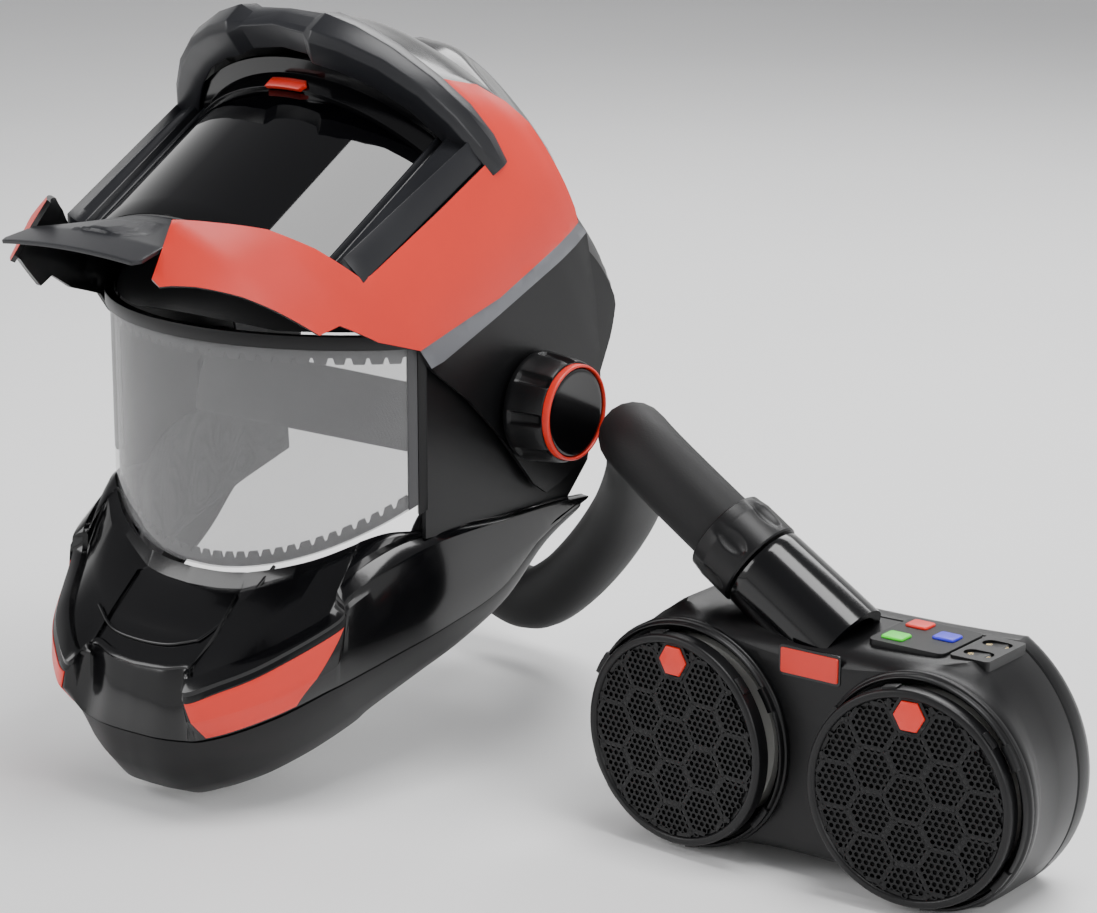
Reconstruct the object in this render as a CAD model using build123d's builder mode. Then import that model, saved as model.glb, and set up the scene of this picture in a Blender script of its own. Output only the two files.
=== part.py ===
from build123d import *
import math
import os

# Powered air respirator for welding: a helmet with a flip-up welding hood, a breathing hose
# and a belt-worn blower with two filters. Millimetres, +Z up, -Y is the wearer's front, +X the
# wearer's left. The origin is the middle of the axis that joins the two pivot knobs.

os.makedirs("parts", exist_ok=True)

# ---- driving dimensions -------------------------------------------------------------------
RAISE = 60.0            # how far the hood is flipped up at rest, degrees
SHELL_HALF = 112.0      # helmet shell half width
SHELL_WALL = 2.5
HOOD_HALF = 120.0       # hood half width at the pivots
HOOD_WALL = 3.0
HOOD_WIDEST = -70.0     # where the hood's round front starts
HOOD_REAR = 60.0
PLAN_POWER = 2.15       # roundness of the hood's plan (2 would be an ellipse)
PIVOT_R = 8.0
RUNNING = 0.05          # radial clearance of a running fit
VISOR_R = 140.0
VISOR_Y = -2.0          # centre of the visor's curve
VISOR_WALL = 2.0
VISOR_TOP = 50.0
VISOR_BOTTOM = -78.0
VISOR_ARC = 52.0        # half angle of the visor, degrees
FLOOR = -202.0          # the chin and the blower reach down to this height
JAW_SLOPE = 15.5        # the jaw's bands rise to the rear by this angle
JAW_BAND = 29.0         # height of the band that carries the coloured panels
JAW_HALF = 117.5
BLOWER_X = 336.6
BLOWER_Z = -140.0
LOBE = 70.0             # blower centre to filter centre
LOBE_R = 61.5
CAP_R = 56.0            # filter cover
CAP_Y = -75.0           # front plane of the filter covers
SPLAY = 4.0             # the filter covers look outwards by this angle
BLOWER_FRONT = -58.0
BLOWER_MID = 0.0
BLOWER_BACK = 18.0
WALL = 2.5
HOSE_R = 19.0

# ---- planes -------------------------------------------------------------------------------
raise_c = math.cos(math.radians(RAISE))
raise_s = math.sin(math.radians(RAISE))
# The hood is drawn as if it were closed and these planes carry it up to its raised place.
HOOD_XY = Plane((0, 0, 0), x_dir=(1, 0, 0), z_dir=(0, raise_s, raise_c))
HOOD_YZ = Plane((0, 0, 0), x_dir=(0, raise_c, -raise_s), z_dir=(1, 0, 0))
HOOD_XZ = Plane((0, 0, 0), x_dir=(1, 0, 0), z_dir=(0, -raise_c, raise_s))
jaw_c = math.cos(math.radians(JAW_SLOPE))
jaw_s = math.sin(math.radians(JAW_SLOPE))
JAW_TOP = Plane((0, 0, -69.6), x_dir=(1, 0, 0), z_dir=(0, -jaw_s, jaw_c))
HEAD_SLOPE = 19.0       # the head band sits higher in front
HEAD = Plane((0, 2, -22), x_dir=(1, 0, 0),
             z_dir=(0, math.sin(math.radians(HEAD_SLOPE)), math.cos(math.radians(HEAD_SLOPE))))
SIDE = Plane.YZ         # side views: local x is Y, local y is Z
FRONT = Plane.XZ        # front views: local x is X, local y is Z, normal is -Y


def save(part, label):
    """Label a finished piece and write it to its own file."""
    part.label = label
    export_step(part, "parts/" + label + ".step")


def plan(half, y_front, y_widest, y_rear, power, inset=0.0, cut_rear=0.0):
    """Closed plan of a helmet band: a superellipse in front with straight sides to the rear."""
    a = half - inset
    depth = y_widest - y_front - inset
    points = []
    for step in range(13):
        t = math.pi * step / 12
        c, s = math.cos(t), math.sin(t)
        x = a * math.copysign(abs(c) ** (2 / power), c)
        points.append((x, y_widest - depth * s ** (2 / power)))
    with BuildSketch(Plane.XY) as made:
        with BuildLine():
            Spline(points, tangents=[(0, -1), (0, 1)])
            Polyline(points[-1], (-a, y_rear + cut_rear), (a, y_rear + cut_rear), points[0])
        make_face()
    return made.sketch


def sector(radius_out, radius_in, half_angle, y_centre):
    """Plan of a curved sheet in front of the face."""
    a = math.radians(half_angle)
    ends = [(r * math.sin(a), y_centre - r * math.cos(a)) for r in (radius_out, radius_in)]
    (xo, yo), (xi, yi) = ends
    with BuildSketch(Plane.XY) as made:
        with BuildLine():
            ThreePointArc((-xo, yo), (0, y_centre - radius_out), (xo, yo))
            Line((xo, yo), (xi, yi))
            ThreePointArc((xi, yi), (0, y_centre - radius_in), (-xi, yi))
            Line((-xi, yi), (-xo, yo))
        make_face()
    return made.sketch


def outline(*points):
    """Closed straight-sided outline."""
    with BuildSketch(Plane.XY) as made:
        with BuildLine():
            Polyline(*points, close=True)
        make_face()
    return made.sketch


# ---- helmet shell: dome over the head and the two side walls --------------------------------
DOME_TOP = 150.0
DOME_SIDE = 96.0
DOME_FROM = 23.0        # the dome runs from this angle above the brow ...
DOME_TURN = 142.0       # ... over the head by this angle
dome_c = math.cos(math.radians(DOME_FROM))
dome_s = math.sin(math.radians(DOME_FROM))
with BuildPart() as helmet_shell:
    with BuildSketch(Plane((0, 0, 0), x_dir=(1, 0, 0), z_dir=(0, -dome_s, -dome_c))):
        with BuildLine():
            ThreePointArc((SHELL_HALF, DOME_SIDE), (0, DOME_TOP), (-SHELL_HALF, DOME_SIDE))
            Line((-SHELL_HALF, DOME_SIDE), (-SHELL_HALF + SHELL_WALL, DOME_SIDE - SHELL_WALL))
            ThreePointArc((-SHELL_HALF + SHELL_WALL, DOME_SIDE - SHELL_WALL), (0, DOME_TOP - SHELL_WALL),
                          (SHELL_HALF - SHELL_WALL, DOME_SIDE - SHELL_WALL))
            Line((SHELL_HALF - SHELL_WALL, DOME_SIDE - SHELL_WALL), (SHELL_HALF, DOME_SIDE))
        make_face()
    revolve(axis=Axis((0, 0, 0), (-1, 0, 0)), revolution_arc=DOME_TURN)
    for side in (-1, 1):
        with BuildSketch(SIDE.offset(side * (SHELL_HALF - SHELL_WALL / 2))):
            with BuildLine():
                Polyline((-83, 48.2), (-83, -58), (-20, -62), (40, -64), (60, -45), (70, 0), (92.7, 24.8))
                ThreePointArc((92.7, 24.8), (0, DOME_SIDE), (-83, 48.2))
            make_face()
            Circle(PIVOT_R, mode=Mode.SUBTRACT)
        extrude(amount=SHELL_WALL / 2, both=True)
    # the visor and its rim take the place of the dome's front corners
    with BuildSketch(SIDE):
        add(outline((-160, 0), (-83.2, 0), (-83.2, 55), (-160, 55)))
    extrude(amount=150, both=True, mode=Mode.SUBTRACT)
save(helmet_shell.part, "helmet_shell")

with BuildPart() as pivot_studs:
    for side in (-1, 1):
        with BuildSketch(SIDE.offset(side * 95)):
            Circle(PIVOT_R)
        extrude(amount=side * 50)
        with BuildSketch(SIDE.offset(side * 104)):
            Circle(12)
        extrude(amount=side * (SHELL_HALF - SHELL_WALL - 104))
save(pivot_studs.part, "pivot_studs")

# ---- clear visor, its top rim and the gasket behind it --------------------------------------
with BuildPart() as visor:
    with BuildSketch(Plane.XY.offset(VISOR_BOTTOM)):
        add(sector(VISOR_R, VISOR_R - VISOR_WALL, VISOR_ARC, VISOR_Y))
    extrude(amount=VISOR_TOP - VISOR_BOTTOM)
    with BuildSketch(SIDE):
        add(outline((-150, -84), (-80, -33), (-80, -110), (-150, -110)))
    extrude(amount=150, both=True, mode=Mode.SUBTRACT)
save(visor.part, "visor")

with BuildPart() as visor_rim:
    with BuildSketch(Plane.XY.offset(VISOR_TOP)):
        add(sector(VISOR_R + 1, VISOR_R - 2, VISOR_ARC - 0.5, VISOR_Y))
    extrude(amount=2)
save(visor_rim.part, "visor_rim")

with BuildPart() as visor_gasket:
    with BuildSketch(Plane.XY.offset(VISOR_BOTTOM)):
        add(sector(VISOR_R - VISOR_WALL, VISOR_R - VISOR_WALL - 3, VISOR_ARC, VISOR_Y))
    extrude(amount=VISOR_TOP - VISOR_BOTTOM)
    with BuildSketch(SIDE):
        add(outline((-150, -84), (-80, -33), (-80, -110), (-150, -110)))
    extrude(amount=150, both=True, mode=Mode.SUBTRACT)
    with BuildSketch(FRONT):
        add(outline((-99, 44), (99, 44), (99, -44), (60, -66), (0, -74), (-60, -66), (-99, -44)))
    extrude(amount=200, mode=Mode.SUBTRACT)
save(visor_gasket.part, "visor_gasket")

# ---- chin: outer band, sloping shelf, lower skirt and coloured panels -------------------------
JAW_WIDEST = -20.0
JAW_FRONT = -210.0
JAW_REAR = 57.0
JAW_POWER = 2.3
NOTCH_HALF = 37.0
NOTCH_FLOOR = -122.0
CHIN_TOP = [(-230, -122), (-203, -120), (-190, -112), (-150, -99), (-141, -92), (-134, -75),
            (-71, -64), (-25, -60), (70, -60), (70, -170), (-230, -250)]
with BuildPart() as chin_guard:
    with BuildSketch(JAW_TOP.offset(-JAW_BAND)):
        add(plan(JAW_HALF, JAW_FRONT, JAW_WIDEST, JAW_REAR, JAW_POWER))
    extrude(amount=JAW_BAND + 35)
    with BuildSketch(JAW_TOP.offset(-JAW_BAND - 1)):
        add(plan(JAW_HALF, JAW_FRONT, JAW_WIDEST, JAW_REAR, JAW_POWER, inset=HOOD_WALL, cut_rear=31))
    extrude(amount=JAW_BAND + 40, mode=Mode.SUBTRACT)
    with BuildSketch(SIDE):
        add(outline(*CHIN_TOP))
    extrude(amount=150, both=True, mode=Mode.INTERSECT)
    with BuildSketch(FRONT.offset(150)):
        add(outline((-NOTCH_HALF, NOTCH_FLOOR), (NOTCH_HALF, NOTCH_FLOOR), (NOTCH_HALF, -80), (-NOTCH_HALF, -80)))
    extrude(amount=100, mode=Mode.SUBTRACT)
save(chin_guard.part, "chin_guard")

SHELF = [(-230, -134), (-131, -93), (-84, -72), (-84, -75), (-131, -96), (-230, -137)]
with BuildPart() as chin_shelf:
    with BuildSketch(JAW_TOP.offset(-JAW_BAND)):
        add(plan(JAW_HALF, JAW_FRONT, JAW_WIDEST, JAW_REAR, JAW_POWER, inset=HOOD_WALL + 0.1))
    extrude(amount=JAW_BAND + 35)
    with BuildSketch(SIDE):
        add(outline(*SHELF))
    extrude(amount=150, both=True, mode=Mode.INTERSECT)
    with BuildSketch(Plane.XY.offset(-200)):
        with Locations((0, VISOR_Y)):
            Circle(VISOR_R - 8)
    extrude(amount=150, mode=Mode.SUBTRACT)
    # gutter wall under the visor's lower edge
    with BuildSketch(Plane.XY.offset(-98)):
        add(sector(VISOR_R - 5.5, VISOR_R - 8, VISOR_ARC, VISOR_Y))
    extrude(amount=16)
    with BuildSketch(FRONT.offset(160)):
        add(outline((-NOTCH_HALF, -140), (NOTCH_HALF, -140), (NOTCH_HALF, -60), (-NOTCH_HALF, -60)))
    extrude(amount=24, mode=Mode.SUBTRACT)
save(chin_shelf.part, "chin_shelf")

with BuildPart() as jaw_skirt:
    with BuildSketch(JAW_TOP.offset(-JAW_BAND - 0.1)):
        add(plan(JAW_HALF, JAW_FRONT + 1, JAW_WIDEST, JAW_REAR, JAW_POWER))
    with BuildSketch(JAW_TOP.offset(-JAW_BAND - 46)):
        add(plan(JAW_HALF - 12, JAW_FRONT + 26, JAW_WIDEST, JAW_REAR, JAW_POWER))
    loft(ruled=True)
    with BuildSketch(JAW_TOP.offset(-JAW_BAND + 1)):
        add(plan(JAW_HALF, JAW_FRONT + 1, JAW_WIDEST, JAW_REAR, JAW_POWER, inset=WALL, cut_rear=30))
    with BuildSketch(JAW_TOP.offset(-JAW_BAND - 48)):
        add(plan(JAW_HALF - 12, JAW_FRONT + 26, JAW_WIDEST, JAW_REAR, JAW_POWER, inset=WALL, cut_rear=30))
    loft(ruled=True, mode=Mode.SUBTRACT)
    with BuildSketch(SIDE):
        add(outline((-240, -100), (-240, FLOOR), (-152, FLOOR), (60, -57), (60, -40)))
    extrude(amount=150, both=True, mode=Mode.INTERSECT)
save(jaw_skirt.part, "jaw_skirt")

with BuildPart() as accent_panels:
    with BuildSketch(JAW_TOP.offset(-JAW_BAND)):
        add(plan(JAW_HALF + 1.2, JAW_FRONT - 1.2, JAW_WIDEST, JAW_REAR, JAW_POWER))
    extrude(amount=JAW_BAND + 35)
    with BuildSketch(JAW_TOP.offset(-JAW_BAND - 1)):
        add(plan(JAW_HALF, JAW_FRONT, JAW_WIDEST, JAW_REAR, JAW_POWER, cut_rear=31))
    extrude(amount=JAW_BAND + 40, mode=Mode.SUBTRACT)
    with BuildSketch(FRONT.offset(20)):
        for side in (-1, 1):
            add(outline((side * 39, -131), (side * 100, -96), (side * 91, -131), (side * 47, -152)))
    extrude(amount=220, mode=Mode.INTERSECT)
save(accent_panels.part, "accent_panels")

# ---- soft lining that closes the gap between jaw and face -------------------------------------
SEAL_HALF = 104.0
SEAL_FRONT = -166.0
with BuildPart() as face_seal:
    with BuildSketch(JAW_TOP.offset(-60)):
        add(plan(SEAL_HALF, SEAL_FRONT, JAW_WIDEST, 50, JAW_POWER))
    extrude(amount=130)
    with BuildSketch(JAW_TOP.offset(-61)):
        add(plan(SEAL_HALF, SEAL_FRONT, JAW_WIDEST, 50, JAW_POWER, inset=WALL, cut_rear=30))
    extrude(amount=132, mode=Mode.SUBTRACT)
    with BuildSketch(SIDE):
        add(outline((-190, -140), (-150, -121), (-131, -114), (-100, -99), (-80, -84), (-80, -50),
                    (-45, -30), (50, -30), (50, -72), (-120, -150), (-190, -150)))
    extrude(amount=150, both=True, mode=Mode.INTERSECT)
save(face_seal.part, "face_seal")

# ---- air path in the helmet: inlet at the nape, duct over the head -----------------------------
DUCT_R = 131.0
DUCT_HALF = 26.0
DUCT_THICK = 12.0
DUCT_FROM = 28.0
DUCT_TURN = 160.0
duct_c = math.cos(math.radians(DUCT_FROM))
duct_s = math.sin(math.radians(DUCT_FROM))
with BuildPart() as air_duct:
    with BuildSketch(Plane((0, 0, 0), x_dir=(1, 0, 0), z_dir=(0, -duct_s, -duct_c))):
        with Locations((0, DUCT_R + DUCT_THICK / 2)):
            RectangleRounded(2 * DUCT_HALF, DUCT_THICK, 5)
            RectangleRounded(2 * DUCT_HALF - 5, DUCT_THICK - 5, 3, mode=Mode.SUBTRACT)
    revolve(axis=Axis((0, 0, 0), (-1, 0, 0)), revolution_arc=DUCT_TURN)
save(air_duct.part, "air_duct")

INLET = Plane((-14, 140, -62), x_dir=(0, 1, 0), z_dir=(0.5, 0, math.cos(math.radians(30))))
ELBOW_R = 21.0          # outside of the inlet elbow, whose lower end is leant to the right
ELBOW_BORE = 15.0
ELBOW_LEG = 28.0
with BuildPart() as hose_inlet:
    with BuildSketch(INLET):
        Circle(ELBOW_R)
    extrude(amount=ELBOW_LEG)
    with BuildSketch(INLET.offset(12)):
        Circle(ELBOW_R + 2)
    extrude(amount=8)
    with Locations((0, INLET.origin.Y, INLET.origin.Z + ELBOW_LEG * INLET.z_dir.Z)):
        Sphere(ELBOW_R)
    with BuildSketch(Plane.XY.offset(-20.4)):
        with Locations((0, 136)):
            RectangleRounded(46, 14, 5)
    with BuildSketch(Plane.XY.offset(-34)):
        with Locations((0, INLET.origin.Y)):
            Circle(ELBOW_R - 0.5)
    loft()
    with BuildSketch(INLET):
        Circle(ELBOW_BORE)
    extrude(amount=ELBOW_LEG, mode=Mode.SUBTRACT)
    with Locations((0, INLET.origin.Y, INLET.origin.Z + ELBOW_LEG * INLET.z_dir.Z)):
        Sphere(ELBOW_BORE, mode=Mode.SUBTRACT)
    with BuildSketch(Plane.XY.offset(-15)):
        with Locations((0, 136)):
            RectangleRounded(36, 9, 4)
    extrude(amount=-17, mode=Mode.SUBTRACT)
    with BuildSketch(Plane.XY.offset(-20.4)):
        with Locations((0, INLET.origin.Y)):
            Rectangle(60, 60)
    extrude(amount=10, mode=Mode.SUBTRACT)
save(hose_inlet.part, "hose_inlet")

# ---- hood: drawn closed, carried up by the HOOD planes ----------------------------------------
HOOD_SECTIONS = [       # height, half width, front
    (-146, 101, -203), (-141, 102, -208), (-111, 108, -218), (-83, 114, -217), (-57, 118.5, -213),
    (0, 120, -213), (50, 119.5, -214), (60, 119.5, -212), (77, 118, -198), (93, 115, -177), (106, 99, -152)]


def hood_band(first, last, thickness, inset=0.0):
    """Part of the hood's skin between two of its heights, `inset` inside the outer face."""
    with BuildPart() as made:
        for low, high in zip(HOOD_SECTIONS[first:last], HOOD_SECTIONS[first + 1:last + 1]):
            for z, half, front in (low, high):
                with BuildSketch(HOOD_XY.offset(z)):
                    add(plan(half, front, HOOD_WIDEST, HOOD_REAR, PLAN_POWER, inset=inset))
            loft(ruled=True)
        for low, high in zip(HOOD_SECTIONS[first:last], HOOD_SECTIONS[first + 1:last + 1]):
            for z, half, front in (low, high):
                with BuildSketch(HOOD_XY.offset(z)):
                    add(plan(half, front, HOOD_WIDEST, HOOD_REAR, PLAN_POWER,
                             inset=inset + thickness, cut_rear=30))
            loft(ruled=True, mode=Mode.SUBTRACT)
    return made.part


skin = hood_band(0, len(HOOD_SECTIONS) - 1, HOOD_WALL)
BROW_TOP = [(112, 47), (85, 51), (30, 60), (0, 58), (-30, 60), (-85, 51), (-112, 47)]
BROW_LOW = [(-112, 43), (-85, 40), (-29, 32), (0, 38), (29, 32), (85, 40), (112, 43)]
WINDOW = [(-46, -150), (-46, -111), (-77, -83), (-107, -63), (-112, 43), *reversed(BROW_TOP), (112, 43),
          (107, -63), (77, -83), (46, -111), (46, -150)]
TRIM_FRONT = [(-87, -57), (-58, 86)]    # side view of the trim strip's front edge ...
TRIM_REAR = [(-73, -55), (-47, 91)]     # ... and of its rear edge

with BuildPart() as hood_shell:
    add(skin)
    with BuildSketch(HOOD_YZ):
        add(outline((-240, -146), (-190, -146), (-132, -101), (-129, -89), (-88, -61), *TRIM_FRONT,
                    (-101, 88), (-138, 88), (-180, 48), (-240, 48)))
    extrude(amount=150, both=True, mode=Mode.INTERSECT)
    with BuildSketch(HOOD_XZ.offset(100)):
        add(outline(*WINDOW))
    extrude(amount=150, mode=Mode.SUBTRACT)
save(hood_shell.part, "hood_shell")

with BuildPart() as hood_trim:
    add(skin)
    with BuildSketch(HOOD_YZ):
        add(outline(TRIM_FRONT[0], TRIM_FRONT[1], TRIM_REAR[1], TRIM_REAR[0]))
    extrude(amount=150, both=True, mode=Mode.INTERSECT)
save(hood_trim.part, "hood_trim")

with BuildPart() as hood_wings:
    add(skin)
    with BuildSketch(HOOD_YZ):
        add(outline(TRIM_REAR[0], TRIM_REAR[1], (-11, 76), (40, 50), (59, 36), (55, -15), (19, -25),
                    (-38, -40)))
        Circle(PIVOT_R + RUNNING, mode=Mode.SUBTRACT)
    extrude(amount=150, both=True, mode=Mode.INTERSECT)
save(hood_wings.part, "hood_wings")

CREST_FROM = RAISE + 34.0
CREST_TURN = 39.0
crest_c = math.cos(math.radians(CREST_FROM))
crest_s = math.sin(math.radians(CREST_FROM))
with BuildPart() as hood_top:
    add(skin)
    with BuildSketch(HOOD_YZ):
        add(outline((-240, 48), (-180, 48), (-138, 88), (-101, 88), (-59, 88.2), (-48, 93.2), (-40, 120), (-240, 120)))
    extrude(amount=150, both=True, mode=Mode.INTERSECT)
    with BuildSketch(HOOD_XZ.offset(100)):
        add(outline(*WINDOW))
    extrude(amount=150, mode=Mode.SUBTRACT)
    with BuildSketch(Plane((0, 0, 0), x_dir=(1, 0, 0), z_dir=(0, -crest_s, -crest_c))):
        with BuildLine():
            ThreePointArc((96, 148), (0, 183), (-96, 148))
            Line((-96, 148), (-94, 145.5))
            ThreePointArc((-94, 145.5), (0, 180), (94, 145.5))
            Line((94, 145.5), (96, 148))
        make_face()
    revolve(axis=Axis((0, 0, 0), (-1, 0, 0)), revolution_arc=CREST_TURN)
save(hood_top.part, "hood_top")

with BuildPart() as hood_brow:
    add(hood_band(5, 8, 9, inset=-1.5))
    with BuildSketch(HOOD_XZ.offset(100)):
        add(outline(*BROW_LOW, *BROW_TOP))
    extrude(amount=150, mode=Mode.INTERSECT)
save(hood_brow.part, "hood_brow")

PLATE_HALF = 45.7
with BuildPart() as lip_plate:
    with BuildSketch(HOOD_YZ):
        add(outline((-177, -79), (-203, -124), (-214, -146), (-210, -146), (-199, -124), (-173, -79)))
    extrude(amount=100, both=True)
    with BuildSketch(HOOD_XZ.offset(100)):
        add(outline((-PLATE_HALF, -150), (-PLATE_HALF, -109), (-76, -79.5), (76, -79.5),
                    (PLATE_HALF, -109), (PLATE_HALF, -150)))
    extrude(amount=150, mode=Mode.INTERSECT)
save(lip_plate.part, "lip_plate")

# ---- darkening filter in its housing behind the window ----------------------------------------
LENS_R = 116.0
LENS_Y = -61.0
LENS_LOW = -79.0
LENS_HIGH = 40.0
FILTER_HALF = 58.0
FILTER_LOW = -52.0
FILTER_HIGH = 22.0
with BuildPart() as filter_housing:
    with BuildSketch(HOOD_XY.offset(LENS_LOW)):
        add(sector(LENS_R - 2.1, LENS_R - 12, 50, LENS_Y))
    extrude(amount=LENS_HIGH - LENS_LOW)
    with BuildSketch(HOOD_XY.offset(-62)):
        for side in (-1, 1):
            add(outline((side * 87, -140), (side * 107, -136), (side * 105, -129), (side * 82, -134)))
    extrude(amount=LENS_HIGH + 62)
    with BuildSketch(HOOD_XZ.offset(100)):
        add(outline((-FILTER_HALF, FILTER_LOW), (FILTER_HALF, FILTER_LOW), (FILTER_HALF, FILTER_HIGH),
                    (-FILTER_HALF, FILTER_HIGH)))
    extrude(amount=100, mode=Mode.SUBTRACT)
    # the back clears the visor's rim when the hood swings down
    with BuildSketch(SIDE):
        Circle(131.2)
    extrude(amount=88, both=True, mode=Mode.SUBTRACT)
save(filter_housing.part, "filter_housing")

with BuildPart() as front_lens:
    with BuildSketch(HOOD_XY.offset(LENS_LOW)):
        add(sector(LENS_R, LENS_R - 2, 47, LENS_Y))
    extrude(amount=LENS_HIGH - LENS_LOW)
save(front_lens.part, "front_lens")

with BuildPart() as dark_filter:
    with BuildSketch(HOOD_XY.offset(FILTER_LOW + 0.2)):
        add(sector(LENS_R - 3.5, LENS_R - 9, 40, LENS_Y))
    extrude(amount=FILTER_HIGH - FILTER_LOW - 0.4)
    with BuildSketch(HOOD_XZ.offset(100)):
        add(outline((-FILTER_HALF + 0.2, -60), (FILTER_HALF - 0.2, -60), (FILTER_HALF - 0.2, 30),
                    (-FILTER_HALF + 0.2, 30)))
    extrude(amount=100, mode=Mode.INTERSECT)
save(dark_filter.part, "dark_filter")

with BuildPart() as inner_lens:
    with BuildSketch(HOOD_XY.offset(FILTER_LOW - 5)):
        add(sector(LENS_R - 12.1, LENS_R - 13.4, 33, LENS_Y))
    extrude(amount=FILTER_HIGH - FILTER_LOW + 10)
save(inner_lens.part, "inner_lens")

with BuildPart() as lens_clip:
    with BuildSketch(HOOD_XZ.offset(-LENS_Y + LENS_R + 0.2)):
        with Locations((0, 35)):
            Rectangle(27, 8)
    extrude(amount=3)
save(lens_clip.part, "lens_clip")

# ---- pivot knobs ------------------------------------------------------------------------------
KNOB_IN = 121.5
KNOB_OUT = 150.0
for side, name in ((1, "left"), (-1, "right")):
    with BuildPart() as knob:
        with BuildSketch(Plane.XY):
            add(outline((side * KNOB_IN, PIVOT_R + RUNNING), (side * KNOB_IN, 30), (side * (KNOB_IN + 5), 30.5),
                        (side * (KNOB_OUT - 4), 28), (side * (KNOB_OUT - 4), PIVOT_R + RUNNING)))
        revolve(axis=Axis.X)
        with BuildSketch(SIDE.offset(side * (KNOB_IN + 6))):
            with PolarLocations(31.5, 8):
                Circle(2.5)
        extrude(amount=side * 20, mode=Mode.SUBTRACT)
    save(knob.part, "knob_" + name)

    with BuildPart() as ring:
        with BuildSketch(SIDE.offset(side * (KNOB_OUT - 3.9))):
            Circle(27.5)
            Circle(24.6, mode=Mode.SUBTRACT)
        extrude(amount=side * 4.4)
    save(ring.part, "knob_ring_" + name)

    with BuildPart() as cap:
        with BuildSketch(SIDE.offset(side * (KNOB_OUT - 3.9))):
            Circle(24.4)
        extrude(amount=side * 3.9)
        fillet(cap.edges().sort_by(Axis.X)[-1 if side > 0 else 0], 1)
    save(cap.part, "knob_cap_" + name)

# ---- headgear ---------------------------------------------------------------------------------
BAND_X = 86.0           # half width of the head band
BAND_Y = 99.0           # half length of the head band
BAND_TALL = 26.0
with BuildPart() as headband:
    with BuildSketch(HEAD.offset(-BAND_TALL / 2)):
        Ellipse(BAND_X, BAND_Y)
        Ellipse(BAND_X - 1.6, BAND_Y - 1.6, mode=Mode.SUBTRACT)
        with Locations((0, 110)):
            Rectangle(200, 100, mode=Mode.SUBTRACT)
    extrude(amount=BAND_TALL)
save(headband.part, "headband")

with BuildPart() as brow_pad:
    with BuildSketch(HEAD.offset(-20)):
        Ellipse(BAND_X + 5, BAND_Y + 5)
        Ellipse(BAND_X + 0.2, BAND_Y + 0.2, mode=Mode.SUBTRACT)
        with Locations((0, 90)):
            Rectangle(220, 250, mode=Mode.SUBTRACT)
    extrude(amount=40)
save(brow_pad.part, "brow_pad")

with BuildPart() as rear_band:
    with BuildSketch(HEAD.offset(-BAND_TALL / 2 + 2)):
        Ellipse(BAND_X - 2.4, BAND_Y - 1)
        Ellipse(BAND_X - 4, BAND_Y - 2.6, mode=Mode.SUBTRACT)
        with Locations((0, -78)):
            Rectangle(200, 200, mode=Mode.SUBTRACT)
    extrude(amount=BAND_TALL - 4)
save(rear_band.part, "rear_band")

with BuildPart() as rear_pad:
    with BuildSketch(HEAD.offset(-BAND_TALL / 2)):
        Ellipse(BAND_X - 4.2, BAND_Y - 2.8)
        Ellipse(BAND_X - 9, BAND_Y - 8, mode=Mode.SUBTRACT)
        with Locations((0, -40)):
            Rectangle(200, 220, mode=Mode.SUBTRACT)
    extrude(amount=BAND_TALL)
save(rear_pad.part, "rear_pad")

KNURLS = 20
RATCHET_R = 15.0
band_end = HEAD.from_local_coords(Vector(0, BAND_Y - 0.8, 0))
with BuildPart() as ratchet_knob:
    with BuildSketch(Plane(band_end, x_dir=(1, 0, 0), z_dir=HEAD.y_dir)):
        Circle(RATCHET_R)
        with PolarLocations(RATCHET_R + 0.4, KNURLS):
            Circle(1.3, mode=Mode.SUBTRACT)
    extrude(amount=9)
save(ratchet_knob.part, "ratchet_knob")

with BuildPart() as crown_straps:
    for lean in (68, 100):
        lean_c, lean_s = math.cos(math.radians(lean)), math.sin(math.radians(lean))
        with BuildSketch(Plane((0, 0, 0), x_dir=(1, 0, 0), z_dir=(0, -lean_s, -lean_c))):
            Ellipse(BAND_X, 112)
            Ellipse(BAND_X - 1.6, 110.4, mode=Mode.SUBTRACT)
            with Locations((0, -63)):
                Rectangle(200, 120, mode=Mode.SUBTRACT)
        extrude(amount=9, both=True)
save(crown_straps.part, "crown_straps")

ARM_X = 96.5
with BuildPart() as side_arms:
    for side in (-1, 1):
        with BuildSketch(SIDE.offset(side * ARM_X)):
            with BuildLine():
                Polyline((-32, -2), (-14, 13), (14, 13), (40, -26), (40, -42), (-32, -24), close=True)
            make_face()
            Circle(PIVOT_R + RUNNING, mode=Mode.SUBTRACT)
        extrude(amount=side * 3)
        for y, z in ((-26, -13), (33, -33)):
            with BuildSketch(SIDE.offset(side * (BAND_X - 3.2))):
                with Locations((y, z)):
                    Rectangle(8, 8)
            extrude(amount=side * (ARM_X - BAND_X + 3.2))
save(side_arms.part, "side_arms")

# ---- blower -----------------------------------------------------------------------------------
BODY_HALF = 124.0
DECK_TOP = 65.5
DECK_Z = BLOWER_Z + DECK_TOP
PLATE_AT = (BLOWER_X + 47, -21.7)
SOCKET_AT = (BLOWER_X + 82, -21)
SHOULDER = -42.0        # the body has its full outline behind this plane


def blower_plane(y):
    """Front view plane through the blower's centre at depth y."""
    return Plane((BLOWER_X, y, BLOWER_Z), x_dir=(1, 0, 0), z_dir=(0, -1, 0))


def blower_outline(base, half, top_x, top, sag):
    """Outline of two lobes with a sagging deck between them and a flat base."""
    with BuildSketch(Plane.XY) as made:
        with BuildLine():
            ThreePointArc((base, -LOBE_R), (half, -2), (top_x, top))
            ThreePointArc((top_x, top), (0, sag), (-top_x, top))
            ThreePointArc((-top_x, top), (-half, -2), (-base, -LOBE_R))
            Line((-base, -LOBE_R), (base, -LOBE_R))
        make_face()
    return made.sketch


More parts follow.
